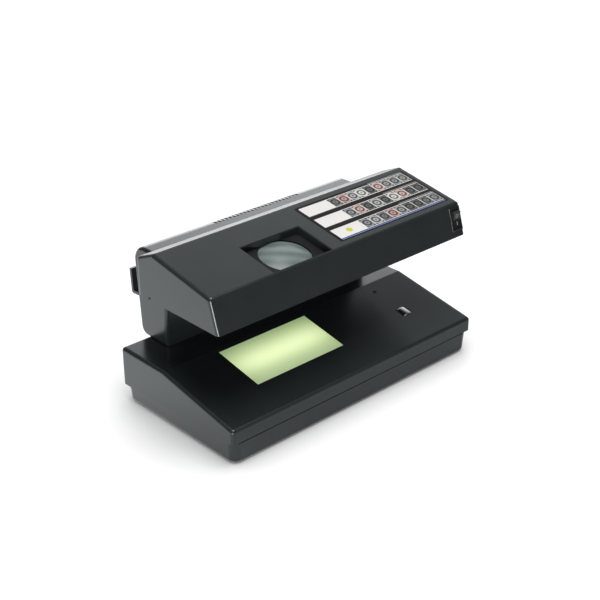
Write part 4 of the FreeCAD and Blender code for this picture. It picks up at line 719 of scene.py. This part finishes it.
# %% [markdown]
# ## Floor
#
# The detector stands on a seamless white sweep, which fades into the background. White paper alone would
# render as pale grey wherever the light falls off, so the camera, and gloss and glass, also see a share of
# plain white in it, which grows with the distance from the lamps. The rest is ordinary matt paper, which
# takes the shadow. The eye's share of white fades where the machine covers the paper, by the paper's ambient
# occlusion, so that the shadow stays dark and close to the base. Gloss and glass see the floor turn dark
# towards the front right, where a studio has its black curtain: that keeps the front dark and lets the left
# and the rear shine.

# %% White paper
FLOOR_PAPER = "#c8c8c8"
GLOW_NEAR, GLOW_FAR, LIT_TO, DIM_FROM = 0.6, 1.0, 0.5, 2.0
FROM_CURTAIN, DARK_TO, WHITE_FROM = (-0.62, 0.78, 0), -0.06, 0.16
GLOSS_LOW, GLOSS_HIGH = 0.05, 0.95
COVER_REACH, COVER_POWER = 0.07, 1.3
paper, tree, shader = start_finish("matt_white_paper", {"Base Color": linear(FLOOR_PAPER), "Roughness": 0.9,
                                                        "Specular IOR Level": 0.0,
                                                        "Emission Color": linear("#ffffff")})
path = add(tree, "LightPath")
mirrored = add(tree, "Math", {"operation": "MAXIMUM"}, {0: path.outputs["Is Glossy Ray"],
                                                        1: path.outputs["Is Transmission Ray"]})
place = add(tree, "TexCoord").outputs["Object"]
away = add(tree, "VectorMath", {"operation": "DOT_PRODUCT", 1: FROM_CURTAIN}, {0: place})
share = add(tree, "MapRange", {"interpolation_type": "SMOOTHSTEP", "From Min": DARK_TO, "From Max": WHITE_FROM,
                               "To Min": GLOSS_LOW, "To Max": GLOSS_HIGH}, {"Value": away.outputs["Value"]})
by_gloss = add(tree, "Math", {"operation": "MULTIPLY"}, {0: mirrored.outputs[0], 1: share.outputs["Result"]})
uncovered = add(tree, "AmbientOcclusion", {"Distance": COVER_REACH})
bare = add(tree, "Math", {"operation": "POWER", 1: COVER_POWER}, {0: uncovered.outputs["AO"]})
far = add(tree, "VectorMath", {"operation": "LENGTH"}, {0: place})
lift = add(tree, "MapRange", {"From Min": LIT_TO, "From Max": DIM_FROM,
                              "To Min": GLOW_NEAR, "To Max": GLOW_FAR}, {"Value": far.outputs["Value"]})
white = add(tree, "Math", {"operation": "MULTIPLY"}, {0: lift.outputs["Result"], 1: bare.outputs[0]})
level = add(tree, "Math", {"operation": "MULTIPLY_ADD"}, {0: path.outputs["Is Camera Ray"], 1: white.outputs[0],
                                                         2: by_gloss.outputs[0]})
tree.links.new(level.outputs[0], shader.inputs["Emission Strength"])
print("floor finish:", paper.name)

# %% [markdown]
# The edge of the sweep lies four metres off, as white as the room behind it, so one flat square under the feet
# is enough.

# %% White floor
FLOOR_HALF = 4.0
floor_z = cad_box[0][2]
floor_mesh = bpy.data.meshes.new("floor")
floor_mesh.from_pydata([(x, y, floor_z) for x, y in ((-FLOOR_HALF, -FLOOR_HALF), (FLOOR_HALF, -FLOOR_HALF),
                                                     (FLOOR_HALF, FLOOR_HALF), (-FLOOR_HALF, FLOOR_HALF))],
                       [], [(0, 1, 2, 3)])
floor_mesh.materials.append(paper)
floor = bpy.data.objects.new("floor", floor_mesh)
bpy.context.scene.collection.objects.link(floor)
print("floor at z =", round(floor_z, 5))

# %% [markdown]
# ## Light
#
# Black plastic shows its form almost only by what it mirrors. So the room around it isn't one even white: it
# is dim, with a bright wall at the back right, which the slope of the hood mirrors, and a brighter strip of it
# low over the floor, which the rear edge mirrors. Each of them is a lobe: the cosine of the angle to its
# middle, raised to a power, so that a higher power makes it narrower. The camera, and what looks through
# glass, see plain white instead.

# %% The room
ROOM_DIM, PLAIN_WHITE = 0.1, 1.0
WALLS = (((0.606, 0.66, 0.3), 8, 0.8), ((0.606, 0.75, 0.12), 30, 3.2))
world = bpy.data.worlds.new("studio")
bpy.context.scene.world = world
world.use_nodes = True
tree = world.node_tree
tree.nodes.clear()
outward = add(tree, "TexCoord").outputs["Generated"]
bright = add(tree, "Value")
bright.outputs[0].default_value = ROOM_DIM
for heading, narrowness, brightness in WALLS:
    middle = Vector(heading).normalized()
    cosine = add(tree, "VectorMath", {"operation": "DOT_PRODUCT", 1: middle}, {0: outward})
    facing = add(tree, "Math", {"operation": "MAXIMUM", 1: 0.0}, {0: cosine.outputs["Value"]})
    lobe = add(tree, "Math", {"operation": "POWER", 1: narrowness}, {0: facing.outputs[0]})
    bright = add(tree, "Math", {"operation": "MULTIPLY_ADD", 1: brightness},
                 {0: lobe.outputs[0], 2: bright.outputs[0]})
path = add(tree, "LightPath")
seen = add(tree, "Math", {"operation": "MAXIMUM"}, {0: path.outputs["Is Camera Ray"],
                                                    1: path.outputs["Is Transmission Ray"]})
strength = add(tree, "Mix", {"data_type": "FLOAT", FLOAT_B: PLAIN_WHITE},
               {FACTOR: seen.outputs[0], FLOAT_A: bright.outputs[0]})
room = add(tree, "Background", {"Color": linear("#fdfeff")}, {"Strength": strength.outputs[0]})
add(tree, "OutputWorld", links={"Surface": room.outputs["Background"]})
print("bright walls in the room:", len(WALLS))

# %% [markdown]
# A large soft lamp hangs over the front of the machine. It lights the faces that look up, and lays the soft
# shadow close around the base. A small one at the front left draws the thin light line on the hood's corner.

# %% Lamps
LAMPS = {"overhead_softbox": ((0.02, -0.12, 1.6), (0, 0, 0), (1.2, 1.2), 25.0),
         "corner_strip": ((-0.95, -0.82, 0.16), (0, 0, 0.12), (0.16, 0.4), 9.0)}
for name, (lamp_place, aim, size, watts) in LAMPS.items():
    lamp = bpy.data.objects.new(name, bpy.data.lights.new(name, "AREA"))
    lamp.data.shape = "RECTANGLE"
    lamp.data.size, lamp.data.size_y = size
    lamp.data.energy = watts
    lamp.location = lamp_place
    lamp.rotation_mode = "QUATERNION"
    lamp.rotation_quaternion = (Vector(aim) - Vector(lamp_place)).to_track_quat("-Z", "Y")
    bpy.context.scene.collection.objects.link(lamp)
print("lamps:", list(LAMPS))

# %% [markdown]
# ## Camera
#
# The camera looks down on the detector from its front left. Its place is given by a direction and a distance
# from a point near the middle of the machine, and its field of view by a lens on a 36 mm sensor.

# %% Camera
AZIMUTH, ELEVATION, ROLL = (math.radians(angle) for angle in (-42.646, 26.623, -0.298))
DISTANCE, LENS, SENSOR = 1.00281, 73.26, 36.0
TARGET = Vector((0.00233, -0.004813, 0.066087))
back = Vector((math.sin(AZIMUTH) * math.cos(ELEVATION), -math.cos(AZIMUTH) * math.cos(ELEVATION),
               math.sin(ELEVATION)))
right = Vector((0, 0, 1)).cross(back).normalized()
up = back.cross(right)
axes = (math.cos(ROLL) * right + math.sin(ROLL) * up, math.cos(ROLL) * up - math.sin(ROLL) * right, back)
camera = bpy.data.objects.new("camera", bpy.data.cameras.new("camera"))
camera.data.lens, camera.data.sensor_width = LENS, SENSOR
camera.matrix_world = Matrix.Translation(TARGET + DISTANCE * back) @ Matrix(axes).transposed().to_4x4()
bpy.context.scene.collection.objects.link(camera)
bpy.context.scene.camera = camera
bpy.context.scene.view_settings.view_transform = "Standard"
print("camera at", [round(value, 4) for value in camera.location])
